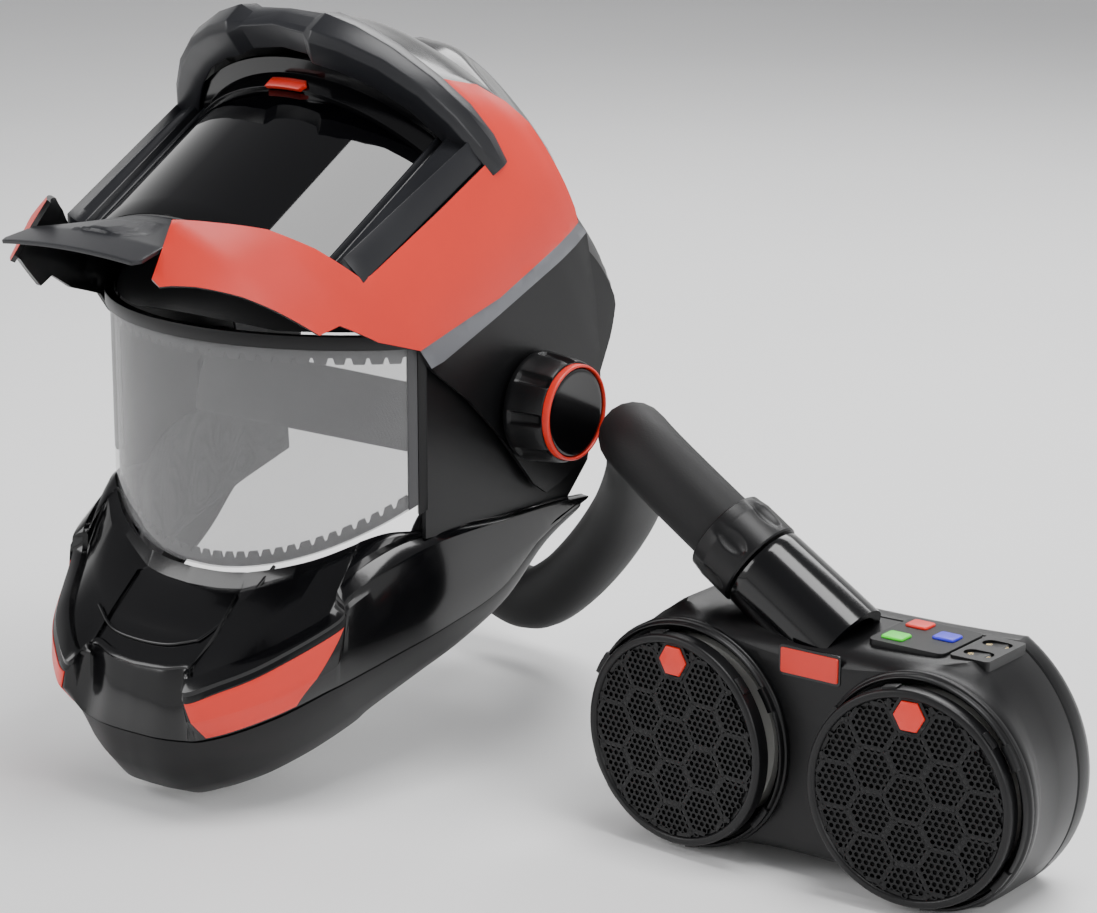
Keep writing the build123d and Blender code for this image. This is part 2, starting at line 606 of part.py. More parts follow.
full_outline = blower_outline(95, BODY_HALF, 86, DECK_TOP, DECK_TOP - 3)
lobe_outline = blower_outline(78, LOBE + LOBE_R, 66, 61.3, 59.5)
with BuildPart() as blower_front:
    with BuildSketch(blower_plane(BLOWER_FRONT)):
        add(lobe_outline)
    with BuildSketch(blower_plane(SHOULDER)):
        add(full_outline)
    loft(ruled=True)
    with BuildSketch(blower_plane(SHOULDER)):
        add(full_outline)
    extrude(amount=SHOULDER - BLOWER_MID)
    with BuildSketch(blower_plane(BLOWER_FRONT + 0.5)):
        with Locations((-LOBE, 0), (LOBE, 0)):
            Circle(LOBE_R - 1)
    extrude(amount=6.5)
    with BuildSketch(blower_plane(BLOWER_FRONT + WALL)):
        offset(lobe_outline, amount=-WALL, kind=Kind.INTERSECTION)
    with BuildSketch(blower_plane(SHOULDER)):
        offset(full_outline, amount=-WALL, kind=Kind.INTERSECTION)
    loft(ruled=True, mode=Mode.SUBTRACT)
    with BuildSketch(blower_plane(SHOULDER)):
        offset(full_outline, amount=-WALL, kind=Kind.INTERSECTION)
    extrude(amount=SHOULDER - BLOWER_MID, mode=Mode.SUBTRACT)
    with BuildSketch(blower_plane(BLOWER_FRONT)):
        with Locations((-LOBE, 0), (LOBE, 0)):
            Circle(LOBE_R - 3)
    extrude(amount=9, mode=Mode.SUBTRACT)
    with BuildSketch(blower_plane(BLOWER_FRONT - 1)):
        with Locations((-LOBE, 0), (LOBE, 0)):
            Circle(46)
    extrude(amount=-10, mode=Mode.SUBTRACT)
    # pockets for the control plate and the sockets
    with BuildSketch(Plane.XY.offset(DECK_Z + 2)):
        with Locations(PLATE_AT):
            RectangleRounded(44.4, 42.4, 4.2)
        with Locations(SOCKET_AT):
            RectangleRounded(22.4, 38.4, 2.2)
    extrude(amount=-14, mode=Mode.SUBTRACT)
save(blower_front.part, "blower_front")

with BuildPart() as blower_rear:
    with BuildSketch(blower_plane(BLOWER_MID + 0.1)):
        add(full_outline)
    extrude(amount=BLOWER_MID + 0.1 - BLOWER_BACK)
    fillet(blower_rear.faces().sort_by(Axis.Y)[-1].edges(), 3)
    with BuildSketch(blower_plane(BLOWER_MID)):
        offset(full_outline, amount=-WALL, kind=Kind.INTERSECTION)
    extrude(amount=BLOWER_MID - BLOWER_BACK + WALL, mode=Mode.SUBTRACT)
save(blower_rear.part, "blower_rear")

CLIP_SPACING = 80.0     # between the two belt slots
BELT_SLOT = 52.0
BELT_GAP = 6.0          # room for the belt behind the clip
CLIP_THICK = 3.0
with BuildPart() as belt_clip:
    with BuildSketch(blower_plane(BLOWER_BACK + BELT_GAP + CLIP_THICK)):
        RectangleRounded(130, 66, 8)
    extrude(amount=CLIP_THICK)
    for side in (-1, 1):
        with BuildSketch(blower_plane(BLOWER_BACK + BELT_GAP + 0.5)):
            with Locations((side * 58, 0)):
                Rectangle(12, 60)
        extrude(amount=BELT_GAP + 0.4)
    with BuildSketch(blower_plane(BLOWER_BACK + BELT_GAP + CLIP_THICK + 1)):
        with GridLocations(CLIP_SPACING, 0, 2, 1):
            RectangleRounded(BELT_GAP, BELT_SLOT, 2.9)
    extrude(amount=CLIP_THICK + 2, mode=Mode.SUBTRACT)
save(belt_clip.part, "belt_clip")

with BuildPart() as particle_filters:
    for side in (-1, 1):
        with BuildSketch(blower_plane(BLOWER_FRONT + WALL + 0.5)):
            with Locations((side * LOBE, 0)):
                Circle(50)
        extrude(amount=-22)
save(particle_filters.part, "particle_filters")

HEX_R = 13.0
CAP_DEEP = 9.0
TAB_HIGH = 43.0
for side, name in ((1, "left"), (-1, "right")):
    turn = math.radians(side * SPLAY)
    cap_plane = Plane((BLOWER_X + side * LOBE, CAP_Y, BLOWER_Z), x_dir=(math.cos(turn), math.sin(turn), 0),
                      z_dir=(math.sin(turn), -math.cos(turn), 0))
    with BuildPart() as filter_cover:
        with BuildSketch(cap_plane):
            Circle(CAP_R)
        extrude(amount=-CAP_DEEP)
        with BuildSketch(cap_plane.offset(-2.5)):
            Circle(CAP_R - 3)
        extrude(amount=-CAP_DEEP, mode=Mode.SUBTRACT)
        with BuildSketch(cap_plane.offset(1)):
            with HexLocations(HEX_R, 3, 3):
                RegularPolygon(HEX_R - 1.6, 6, major_radius=True)
        extrude(amount=-5, mode=Mode.SUBTRACT)
        with BuildSketch(cap_plane.offset(1)):
            with Locations((0, TAB_HIGH)):
                RegularPolygon(8.6, 6)
        extrude(amount=-5, mode=Mode.SUBTRACT)
    save(filter_cover.part, "filter_cover_" + name)

    with BuildPart() as release_tab:
        with BuildSketch(cap_plane.offset(0.8)):
            with Locations((0, TAB_HIGH)):
                RegularPolygon(8.3, 6)
        extrude(amount=-3)
    save(release_tab.part, "release_tab_" + name)

# ---- controls on the deck ---------------------------------------------------------------------
BUTTONS = {"power_button": (36, -9), "flow_button": (36, -32), "alarm_button": (57, -18)}
BUTTON_X = 13.0
BUTTON_Y = 11.0
with BuildPart() as control_plate:
    with BuildSketch(Plane.XY.offset(DECK_Z + 0.8)):
        with Locations(PLATE_AT):
            RectangleRounded(44, 42, 4)
        with Locations([(BLOWER_X + x, y) for x, y in BUTTONS.values()]):
            Rectangle(BUTTON_X + 0.7, BUTTON_Y + 0.7, mode=Mode.SUBTRACT)
    extrude(amount=-5)
save(control_plate.part, "control_plate")

for name, (x, y) in BUTTONS.items():
    with BuildPart() as button:
        with BuildSketch(Plane.XY.offset(DECK_Z - 2)):
            with Locations((BLOWER_X + x, y)):
                RectangleRounded(BUTTON_X, BUTTON_Y, 1.5)
        extrude(amount=3.6)
    save(button.part, name)

with BuildPart() as socket_panel:
    with BuildSketch(Plane.XY.offset(DECK_Z + 0.5)):
        with Locations(SOCKET_AT):
            RectangleRounded(22, 38, 2)
        with Locations([(SOCKET_AT[0], SOCKET_AT[1] + dy) for dy in (-9, 9)]):
            SlotOverall(16, 9, mode=Mode.SUBTRACT)
    extrude(amount=-8)
    with BuildSketch(Plane.XY.offset(DECK_Z - 9)):
        with Locations(SOCKET_AT):
            RectangleRounded(22, 38, 2)
    extrude(amount=1.5)
save(socket_panel.part, "socket_panel")

with BuildPart() as contact_pins:
    with BuildSketch(Plane.XY.offset(DECK_Z - 7.5)):
        with Locations([(SOCKET_AT[0] + dx, SOCKET_AT[1] + dy) for dx in (-4.6, 4.6) for dy in (-9, 9)]):
            Circle(1.6)
    extrude(amount=7)
save(contact_pins.part, "contact_pins")

with BuildPart() as label_plate:
    with BuildSketch(blower_plane(BLOWER_FRONT)):
        with Locations((2, 51)):
            RectangleRounded(34, 13, 1)
    extrude(amount=1)
save(label_plate.part, "label_plate")

# ---- air outlet: fixed tube, turning collar and the hose ----------------------------------------
OUTLET = Vector(265, -28, -38)  # where the hose starts
OUTLET_RISE = 33.0
rise_c = math.cos(math.radians(OUTLET_RISE))
rise_s = math.sin(math.radians(OUTLET_RISE))
outlet_plane = Plane(OUTLET, x_dir=(0, -1, 0), z_dir=(-rise_c, 0, rise_s))
COLLAR_LONG = 28.0
TUBE_LONG = 62.0
with BuildPart() as outlet_tube:
    with BuildSketch(outlet_plane.offset(-COLLAR_LONG - 0.4)):
        Circle(23.5)
        Circle(19.5, mode=Mode.SUBTRACT)
    extrude(amount=-TUBE_LONG, taper=-1.2)
    with BuildSketch(outlet_plane.offset(-COLLAR_LONG - 1)):
        Circle(19.5)
        Circle(17.5, mode=Mode.SUBTRACT)
    extrude(amount=19)
    with BuildSketch(blower_plane(-200)):
        with Locations((0, DECK_TOP - 30)):
            Rectangle(300, 56)
    extrude(amount=-400, mode=Mode.SUBTRACT)
save(outlet_tube.part, "outlet_tube")

with BuildPart() as hose_collar:
    with BuildSketch(outlet_plane.offset(-COLLAR_LONG)):
        Circle(24.5)
        Circle(19.55, mode=Mode.SUBTRACT)
    extrude(amount=COLLAR_LONG - 8)
    with BuildSketch(outlet_plane.offset(-8)):
        Circle(24)
        Circle(HOSE_R + 0.4, mode=Mode.SUBTRACT)
    extrude(amount=7, taper=4)
    with BuildSketch(outlet_plane.offset(-COLLAR_LONG + 4)):
        with PolarLocations(27.5, 6):
            Circle(4.2)
    extrude(amount=COLLAR_LONG, mode=Mode.SUBTRACT)
save(hose_collar.part, "hose_collar")

HOSE_ROUTE = [(-14, 140, -62), (-33, 140, -94.9), (-36, 139, -130), (-17, 137, -158), (16, 133, -166),
              (47, 127, -147), (79, 117, -117), (110, 100, -84), (141, 70, -52), (172, 29, -22),
              (192, -10, -2), (222, -28, -10.1), (265, -28, -38)]
route = [Vector(*point) for point in HOSE_ROUTE]
radii = []
for before, corner, after in zip(route, route[1:], route[2:]):
    run_in, run_out = corner - before, after - corner
    turn = math.radians(run_in.get_angle(run_out))
    radii.append(0.45 * min(run_in.length, run_out.length) / math.tan(turn / 2))
print("hose bend radii", [round(r) for r in radii])
with BuildPart() as hose:
    with BuildLine() as hose_path:
        FilletPolyline(*route, radius=radii)
    with BuildSketch(Plane(route[0], z_dir=route[1] - route[0])):
        Circle(HOSE_R)
    sweep(path=hose_path.line)
print("hose length", round(hose_path.wire().length), "volume over section",
      round(hose.part.volume / (math.pi * HOSE_R ** 2)))
save(hose.part, "hose")

# ---- inside the blower --------------------------------------------------------------------------
with BuildPart() as fan_housing:
    with BuildSketch(blower_plane(-30)):
        with Locations((-40, 6)):
            Circle(29)
            Circle(26.5, mode=Mode.SUBTRACT)
    extrude(amount=-28)
    with BuildSketch(blower_plane(-2)):
        with Locations((-40, 6)):
            Circle(29)
            Circle(3.05, mode=Mode.SUBTRACT)
    extrude(amount=-2)
save(fan_housing.part, "fan_housing")

BLADES = 9
with BuildPart() as impeller:
    with BuildSketch(blower_plane(-27)):
        with Locations((-40, 6)):
            Circle(24)
            Circle(12, mode=Mode.SUBTRACT)
    extrude(amount=-2)
    with BuildSketch(blower_plane(-8)):
        with Locations((-40, 6)):
            Circle(24)
    extrude(amount=-2)
    with BuildSketch(blower_plane(-25)):
        with Locations((-40, 6)):
            with PolarLocations(18, BLADES):
                Rectangle(11, 1.4)
    extrude(amount=-17)
    with BuildSketch(blower_plane(-6)):
        with Locations((-40, 6)):
            Circle(3)
    extrude(amount=-10)
save(impeller.part, "impeller")

with BuildPart() as fan_motor:
    with BuildSketch(blower_plane(4.6)):
        with Locations((-40, 6)):
            Circle(18)
    extrude(amount=-10)
    with BuildSketch(blower_plane(4.6)):
        with Locations((-40, 6)):
            Circle(3.05)
    extrude(amount=-10, mode=Mode.SUBTRACT)
save(fan_motor.part, "fan_motor")

with BuildPart() as battery_pack:
    with BuildSketch(blower_plane(-28)):
        with Locations((45, -16)):
            RectangleRounded(90, 60, 6)
    extrude(amount=-40)
save(battery_pack.part, "battery_pack")

with BuildPart() as circuit_board:
    with BuildSketch(blower_plane(-28)):
        with Locations((38, 34)):
            Rectangle(70, 30)
    extrude(amount=-2)
save(circuit_board.part, "circuit_board")

with BuildPart() as case_screws:
    with BuildSketch(blower_plane(BLOWER_BACK + 1.2)):
        with Locations((-88, 36), (88, 36), (-88, -44), (88, -44)):
            Circle(3.5)
    extrude(amount=1.2)
save(case_screws.part, "case_screws")
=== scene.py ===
import math

import bpy
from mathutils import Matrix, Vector
from mathutils.geometry import delaunay_2d_cdt


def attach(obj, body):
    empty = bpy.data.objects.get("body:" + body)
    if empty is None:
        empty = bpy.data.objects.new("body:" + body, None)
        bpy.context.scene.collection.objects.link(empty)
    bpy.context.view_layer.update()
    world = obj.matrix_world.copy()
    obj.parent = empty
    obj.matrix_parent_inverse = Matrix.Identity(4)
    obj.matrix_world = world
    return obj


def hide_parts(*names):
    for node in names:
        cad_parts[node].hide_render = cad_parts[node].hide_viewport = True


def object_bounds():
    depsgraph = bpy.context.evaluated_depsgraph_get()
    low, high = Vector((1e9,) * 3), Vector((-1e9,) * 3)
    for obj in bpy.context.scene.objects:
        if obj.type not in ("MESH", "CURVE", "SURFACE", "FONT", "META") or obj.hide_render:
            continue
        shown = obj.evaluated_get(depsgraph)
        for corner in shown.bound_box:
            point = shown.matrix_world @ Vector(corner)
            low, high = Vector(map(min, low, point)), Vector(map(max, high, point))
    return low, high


# Powered air respirator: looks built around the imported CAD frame. Lengths in the tables and the
# functions below are millimetres in the row frame; every mesh is scaled to metres when it is made.

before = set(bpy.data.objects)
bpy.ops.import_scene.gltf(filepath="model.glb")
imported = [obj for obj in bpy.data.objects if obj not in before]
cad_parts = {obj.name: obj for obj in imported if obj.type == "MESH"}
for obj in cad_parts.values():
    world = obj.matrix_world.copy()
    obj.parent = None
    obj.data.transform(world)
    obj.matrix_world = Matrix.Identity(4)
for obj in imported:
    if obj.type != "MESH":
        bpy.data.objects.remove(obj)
cad_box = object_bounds()
MM = 0.001

# ---- camera -------------------------------------------------------------------------------------
AZIMUTH = math.radians(37.4)
ELEVATION = math.radians(15.0)
CAMERA_AT = (1.193, -1.390, 0.4413)
towards_camera = Vector((math.sin(AZIMUTH) * math.cos(ELEVATION),
                         -math.cos(AZIMUTH) * math.cos(ELEVATION), math.sin(ELEVATION)))
camera_data = bpy.data.cameras.new("camera")
camera_data.sensor_width = 36.0
camera_data.lens = 109.3
camera = bpy.data.objects.new("camera", camera_data)
camera.location = CAMERA_AT
camera.rotation_euler = towards_camera.to_track_quat("Z", "Y").to_euler()
bpy.context.scene.collection.objects.link(camera)
bpy.context.scene.camera = camera


# ---- materials ----------------------------------------------------------------------------------
def shader(name, colour, roughness, metallic=0.0, coat=0.0, coat_roughness=0.05, sheen=0.0,
           ior=1.5, alpha=1.0):
    """A Principled material with the uniform values set on its own sockets."""
    material = bpy.data.materials.new(name)
    material.use_nodes = True
    principled = material.node_tree.nodes["Principled BSDF"]
    values = {"Base Color": (*colour, 1.0), "Roughness": roughness, "Metallic": metallic,
              "Coat Weight": coat, "Coat Roughness": coat_roughness, "Sheen Weight": sheen,
              "IOR": ior, "Alpha": alpha}
    for socket, value in values.items():
        principled.inputs[socket].default_value = value
    return material, principled


def add_node(material, kind, **inputs):
    """A node with some of its inputs set."""
    node = material.node_tree.nodes.new(kind)
    for socket, value in inputs.items():
        node.inputs[socket.replace("_", " ")].default_value = value
    return node


def vary(material, principled, colour, spread, roughness, rough_spread, scale):
    """Gentle colour and roughness variation from noise."""
    links = material.node_tree.links
    place = material.node_tree.nodes.new("ShaderNodeTexCoord")
    noise = add_node(material, "ShaderNodeTexNoise", Scale=scale, Detail=6.0)
    links.new(place.outputs["Object"], noise.inputs["Vector"])
    ramp = material.node_tree.nodes.new("ShaderNodeValToRGB")
    ramp.color_ramp.elements[0].position = 0.3
    ramp.color_ramp.elements[1].position = 0.7
    ramp.color_ramp.elements[0].color = (*[c * (1 - spread) for c in colour], 1.0)
    ramp.color_ramp.elements[1].color = (*[min(1.0, c * (1 + spread)) for c in colour], 1.0)
    links.new(noise.outputs["Fac"], ramp.inputs["Fac"])
    links.new(ramp.outputs["Color"], principled.inputs["Base Color"])
    range_node = add_node(material, "ShaderNodeMapRange")
    range_node.inputs["To Min"].default_value = roughness - rough_spread
    range_node.inputs["To Max"].default_value = roughness + rough_spread
    links.new(noise.outputs["Fac"], range_node.inputs["Value"])
    links.new(range_node.outputs["Result"], principled.inputs["Roughness"])
    return place


def grain(material, principled, place, scale, distance):
    """Fine moulded grain as bump, `distance` in metres."""
    links = material.node_tree.links
    texture = add_node(material, "ShaderNodeTexNoise", Scale=scale)
    links.new(place.outputs["Object"], texture.inputs["Vector"])
    bump = add_node(material, "ShaderNodeBump", Strength=0.6, Distance=distance)
    links.new(texture.outputs["Fac"], bump.inputs["Height"])
    links.new(bump.outputs["Normal"], principled.inputs["Normal"])


def plastic(name, colour, roughness, spread=0.12, rough_spread=0.06, grain_scale=1400.0,
            grain_depth=0.00008, **sockets):
    """Moulded or lacquered plastic."""
    material, principled = shader(name, colour, roughness, **sockets)
    place = vary(material, principled, colour, spread, roughness, rough_spread, 18.0)
    grain(material, principled, place, grain_scale, grain_depth)
    return material


def woven(name, colour, threads, depth):
    """Plain-weave cloth: two crossed wave textures."""
    roughness = 0.88
    material, principled = shader(name, colour, roughness, sheen=0.25)
    place = vary(material, principled, colour, 0.25, roughness, 0.08, 60.0)
    links = material.node_tree.links
    waves = []
    for direction in ("X", "Z"):
        wave = add_node(material, "ShaderNodeTexWave", Scale=threads, Distortion=0.6)
        wave.bands_direction = direction
        links.new(place.outputs["Object"], wave.inputs["Vector"])
        waves.append(wave)
    both = material.node_tree.nodes.new("ShaderNodeMath")
    both.operation = "MAXIMUM"
    links.new(waves[0].outputs["Fac"], both.inputs[0])
    links.new(waves[1].outputs["Fac"], both.inputs[1])
    bump = add_node(material, "ShaderNodeBump", Strength=0.8, Distance=depth)
    links.new(both.outputs["Value"], bump.inputs["Height"])
    links.new(bump.outputs["Normal"], principled.inputs["Normal"])
    return material


RED = (0.68, 0.020, 0.007)
BLACK = (0.003, 0.003, 0.0035)
red_paint = plastic("red_lacquer", RED, 0.42, 0.05, 0.04, 2600.0, 0.00005, coat=0.12,
                    coat_roughness=0.3)
silver_paint = plastic("silver_lacquer", (0.17, 0.175, 0.19), 0.40, 0.08, 0.05, metallic=0.5)
black_gloss = plastic("black_gloss", (0.002, 0.002, 0.0025), 0.16, 0.2, 0.03, 600.0, 0.00002,
                      coat=0.15, ior=1.42)
black_satin = plastic("black_satin", BLACK, 0.38, ior=1.38)
black_matte = plastic("black_matte", BLACK, 0.5, ior=1.36)
grey_satin = plastic("grey_satin", (0.012, 0.0125, 0.015), 0.34, ior=1.42)
lens_black = plastic("dark_filter_glass", (0.001, 0.001, 0.0015), 0.035, 0.1, 0.008, 200.0,
                     0.000002)
rubber = plastic("hose_rubber", (0.006, 0.006, 0.0065), 0.6, 0.15, 0.06, 900.0, 0.00012, ior=1.38)
strap_plastic = plastic("strap_plastic", (0.025, 0.025, 0.028), 0.45)
seal_cloth = woven("seal_cloth", (0.05, 0.05, 0.053), 900.0, 0.0003)
pad_cloth = woven("pad_cloth", (0.03, 0.03, 0.033), 700.0, 0.0004)
comb_grey = plastic("comb_grey", (0.055, 0.055, 0.058), 0.6)
key_red = plastic("key_red", (0.85, 0.02, 0.01), 0.35)
key_green = plastic("key_green", (0.05, 0.80, 0.02), 0.35)
key_blue = plastic("key_blue", (0.03, 0.02, 0.75), 0.35)
steel = plastic("steel", (0.55, 0.55, 0.56), 0.28, metallic=1.0)
gold = plastic("gold_contacts", (0.80, 0.62, 0.30), 0.25, metallic=1.0)
paper = plastic("filter_paper", (0.55, 0.55, 0.52), 0.9)
board_green = plastic("circuit_board", (0.02, 0.16, 0.05), 0.4)
cell_blue = plastic("battery_wrap", (0.05, 0.09, 0.22), 0.4)


def clear_plastic(name, tint, alpha):
    """Thin clear sheet: an alpha mix keeps what is behind it straight."""
    material, principled = shader(name, tint, 0.06, coat=1.0, coat_roughness=0.03, alpha=alpha)
    place = vary(material, principled, tint, 0.1, 0.07, 0.02, 9.0)
    grain(material, principled, place, 300.0, 0.000004)
    return material


visor_clear = clear_plastic("visor_clear", (0.22, 0.22, 0.225), 0.34)
lens_clear = clear_plastic("lens_clear", (0.5, 0.52, 0.53), 0.2)


# ---- mesh helpers -------------------------------------------------------------------------------
def make(name, points, faces, body, slot, materials, *replaced):
    """A mesh piece from millimetre points, riding on a body."""
    mesh = bpy.data.meshes.new(name)
    mesh.from_pydata([Vector(p) * MM for p in points], [], faces)
    mesh.validate()
    for material in materials:
        mesh.materials.append(material)
    piece = bpy.data.objects.new(name, mesh)
    bpy.context.scene.collection.objects.link(piece)
    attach(piece, body)
    if replaced:
        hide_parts(*replaced)
    return piece


def settle(piece, thickness=0.0, bevel=0.0, sharp=35.0, inner_material=0, weld=True):
    """Turns the faces outward, applies thickness and edge rounding, then marks the sharp edges."""
    raw = piece.data
    middle = sum((v.co for v in raw.vertices), Vector()) / len(raw.vertices)
    if sum(f.area * f.normal.dot(f.center - middle) for f in raw.polygons) < 0:
        raw.flip_normals()
    if weld:
        piece.modifiers.new("weld", "WELD").merge_threshold = 0.00002
    if thickness:
        solid = piece.modifiers.new("solid", "SOLIDIFY")
        solid.thickness = thickness * MM
        solid.offset = -1.0
        solid.material_offset = inner_material
        solid.material_offset_rim = inner_material
    if bevel:
        rounding = piece.modifiers.new("bevel", "BEVEL")
        rounding.width = bevel * MM
        rounding.segments = 2
        rounding.limit_method = "ANGLE"
        rounding.angle_limit = math.radians(32)
        rounding.use_clamp_overlap = True
    bpy.context.view_layer.update()
    shown = piece.evaluated_get(bpy.context.evaluated_depsgraph_get())
    mesh = bpy.data.meshes.new_from_object(shown)
    piece.modifiers.clear()
    piece.data = mesh
    mesh.shade_smooth()
    mesh.set_sharp_from_angle(angle=math.radians(sharp))
    return piece


def add(name, shape, body, slot, materials, *replaced, **finish):
    """A made and settled piece from (points, faces)."""
    return settle(make(name, *shape, body, slot, materials, *replaced), **finish)


def grid(rows, closed=False):
    """Points and quads of a loft through rows of equal length."""
    points = [p for row in rows for p in row]
    width = len(rows[0])
    faces = []
    for i in range(len(rows) - 1):
        for j in range(width if closed else width - 1):
            k = (j + 1) % width
            faces.append((i * width + j, i * width + k, (i + 1) * width + k, (i + 1) * width + j))
    return points, faces


def capped(rows):
    """A loft through closed rows, with both ends filled."""
    points, faces = grid(rows, closed=True)
    width, last = len(rows[0]), len(points)
    return points, faces + [tuple(range(width - 1, -1, -1)), tuple(range(last - width, last))]


def flipped(shape):
    """The same shape with every face turned over."""
    points, faces = shape
    return points, [tuple(reversed(f)) for f in faces]


def mirrored(half):
    """A line from the middle outward, with its mirror image put before it."""
    return [Vector((-p.x, p.y, p.z)) for p in reversed(half[1:])] + half


def block(feet, tops):
    """Six faces between two outlines of four corners."""
    return feet + tops, [(4, 5, 6, 7), (3, 2, 1, 0), (0, 1, 5, 4), (1, 2, 6, 5), (2, 3, 7, 6),
                         (3, 0, 4, 7)]


def along(line, t):
    """Point of a Catmull-Rom curve through the line's points at station t."""
    i = max(0, min(int(t), len(line) - 2))
    f = t - i
    p1, p2 = Vector(line[i]), Vector(line[i + 1])
    p0 = Vector(line[i - 1]) if i else p1 * 2 - p2
    p3 = Vector(line[i + 2]) if i + 2 < len(line) else p2 * 2 - p1
    return ((p1 * 2) + (p2 - p0) * f + (p0 * 2 - p1 * 5 + p2 * 4 - p3) * f * f
            + (p1 * 3 - p0 - p2 * 3 + p3) * f * f * f) * 0.5


def spread(first, last, count):
    """Evenly spaced values from first to last."""
    return [first + (last - first) * i / (count - 1) for i in range(count)]


def turns(count):
    """Evenly spaced angles round a full turn."""
    return spread(0, math.tau, count + 1)[:-1]


def inside(x, y, polygon):
    """Even-odd test."""
    hit = False
    for (x1, y1), (x2, y2) in zip(polygon, polygon[1:] + polygon[:1]):
        if (y1 > y) != (y2 > y) and x < x1 + (y - y1) / (y2 - y1) * (x2 - x1):
            hit = not hit
    return hit


ROW_STEP = 0.866        # distance between the rows of a triangular grid, in pitches


def fill(outline, spacing, holes=()):
    """Triangles that fill an outline, with inner points about `spacing` apart."""
    points, edges = [], []
    for loop in (outline, *holes):
        first = len(points)
        for (x1, y1), (x2, y2) in zip(loop, loop[1:] + loop[:1]):
            count = max(1, round(math.dist((x1, y1), (x2, y2)) / spacing))
            points += [(x1 + (x2 - x1) * i / count, y1 + (y2 - y1) * i / count)
                       for i in range(count)]
        edges += [(i, i + 1) for i in range(first, len(points) - 1)] + [(len(points) - 1, first)]
    rim = list(points)
    low_x, high_x = min(p[0] for p in outline), max(p[0] for p in outline)
    low_y, high_y = min(p[1] for p in outline), max(p[1] for p in outline)
    y, row = low_y, 0
    while y < high_y:
        x = low_x + (row % 2) * spacing / 2
        while x < high_x:
            if inside(x, y, outline) and not any(inside(x, y, h) for h in holes):
                if all((x - p[0]) ** 2 + (y - p[1]) ** 2 > (0.55 * spacing) ** 2 for p in rim):
                    points.append((x, y))
            x += spacing
        y += spacing * ROW_STEP
        row += 1
    made = delaunay_2d_cdt([Vector(p) for p in points], edges, [], 0, 1e-5)
    found, triangles = made[0], []
    for face in made[2]:
        cx = sum(found[i].x for i in face) / 3
        cy = sum(found[i].y for i in face) / 3
        if inside(cx, cy, outline) and not any(inside(cx, cy, h) for h in holes):
            area = ((found[face[1]] - found[face[0]]).cross(found[face[2]] - found[face[0]]))
            triangles.append(tuple(face) if area > 0 else tuple(reversed(face)))
    return [(p.x, p.y) for p in found], triangles


def merge(parts):
    """Several (points, faces) lists as one."""
    points, faces = [], []
    for some, quads in parts:
        first = len(points)
        points += some
        faces += [tuple(first + i for i in q) for q in quads]
    return points, faces


def arc3(a, b, c, count):
    """Points of the arc from a over b to c, without c."""
    (ax, ay), (bx, by), (cx, cy) = a, b, c
    d = 2 * (ax * (by - cy) + bx * (cy - ay) + cx * (ay - by))
    a2, b2, c2 = ax**2 + ay**2, bx**2 + by**2, cx**2 + cy**2
    ux = (a2 * (by - cy) + b2 * (cy - ay) + c2 * (ay - by)) / d
    uy = (a2 * (cx - bx) + b2 * (ax - cx) + c2 * (bx - ax)) / d
    start, middle, end = (math.atan2(y - uy, x - ux) for x, y in (a, b, c))
    turn = (end - start) % math.tau
    if (middle - start) % math.tau > turn:
        turn -= math.tau
    r = math.dist((ux, uy), a)
    angles = [start + turn * i / count for i in range(count)]
    return [(ux + r * math.cos(t), uy + r * math.sin(t)) for t in angles]


def lathe(profile, centre, axis, up, segments=96):
    """Revolved profile of (radius, distance along axis) points."""
    axis, up = Vector(axis).normalized(), Vector(up).normalized()
    side = up.cross(axis)
    rows = []
    for r, d in profile:
        rows.append([Vector(centre) + axis * d + (side * math.cos(a) + up * math.sin(a)) * r
                     for a in turns(segments)])
    return grid(rows, closed=True)


def tube_along(points, radius, sides=8):
    """Thin tube through points."""
    rows = []
    for i, p in enumerate(points):
        ahead = Vector(points[min(i + 1, len(points) - 1)]) - Vector(points[max(i - 1, 0)])
        side = ahead.cross(Vector((0.1, 0.2, 1))).normalized()
        over = side.cross(ahead).normalized()
        rows.append([Vector(p) + (side * math.cos(a) + over * math.sin(a)) * radius
                     for a in turns(sides)])
    return capped(rows)


SIDES = ((1, "left"), (-1, "right"))

# ---- hose ---------------------------------------------------------------------------------------
# from the elbow at the nape to the blower's outlet
HOSE_ROUTE = [(-14, 140, -62), (-33, 140, -94.9), (-36, 139, -130), (-17, 137, -158),
              (16, 133, -166), (47, 127, -147), (79, 117, -117), (110, 100, -84), (141, 70, -52),
              (172, 29, -22), (192, -10, -2), (222, -28, -10.1), (265, -28, -38)]
HOSE_RADIUS = 19.0


def make_hose():
    """The breathing hose as a bevelled curve."""
    curve = bpy.data.curves.new("breathing_hose", "CURVE")
    curve.dimensions = "3D"
    spline = curve.splines.new("NURBS")
    spline.points.add(len(HOSE_ROUTE) - 1)
    for point, place in zip(spline.points, HOSE_ROUTE):
        point.co = (*[c * MM for c in place], 1.0)
    spline.order_u = 3
    spline.use_endpoint_u = True
    spline.resolution_u = 16
    curve.bevel_depth = HOSE_RADIUS * MM
    curve.bevel_resolution = 8
    curve.use_fill_caps = True
    curve.materials.append(rubber)
    hose = bpy.data.objects.new("breathing_hose", curve)
    bpy.context.scene.collection.objects.link(hose)
    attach(hose, "helmet")
    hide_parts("hose")


make_hose()

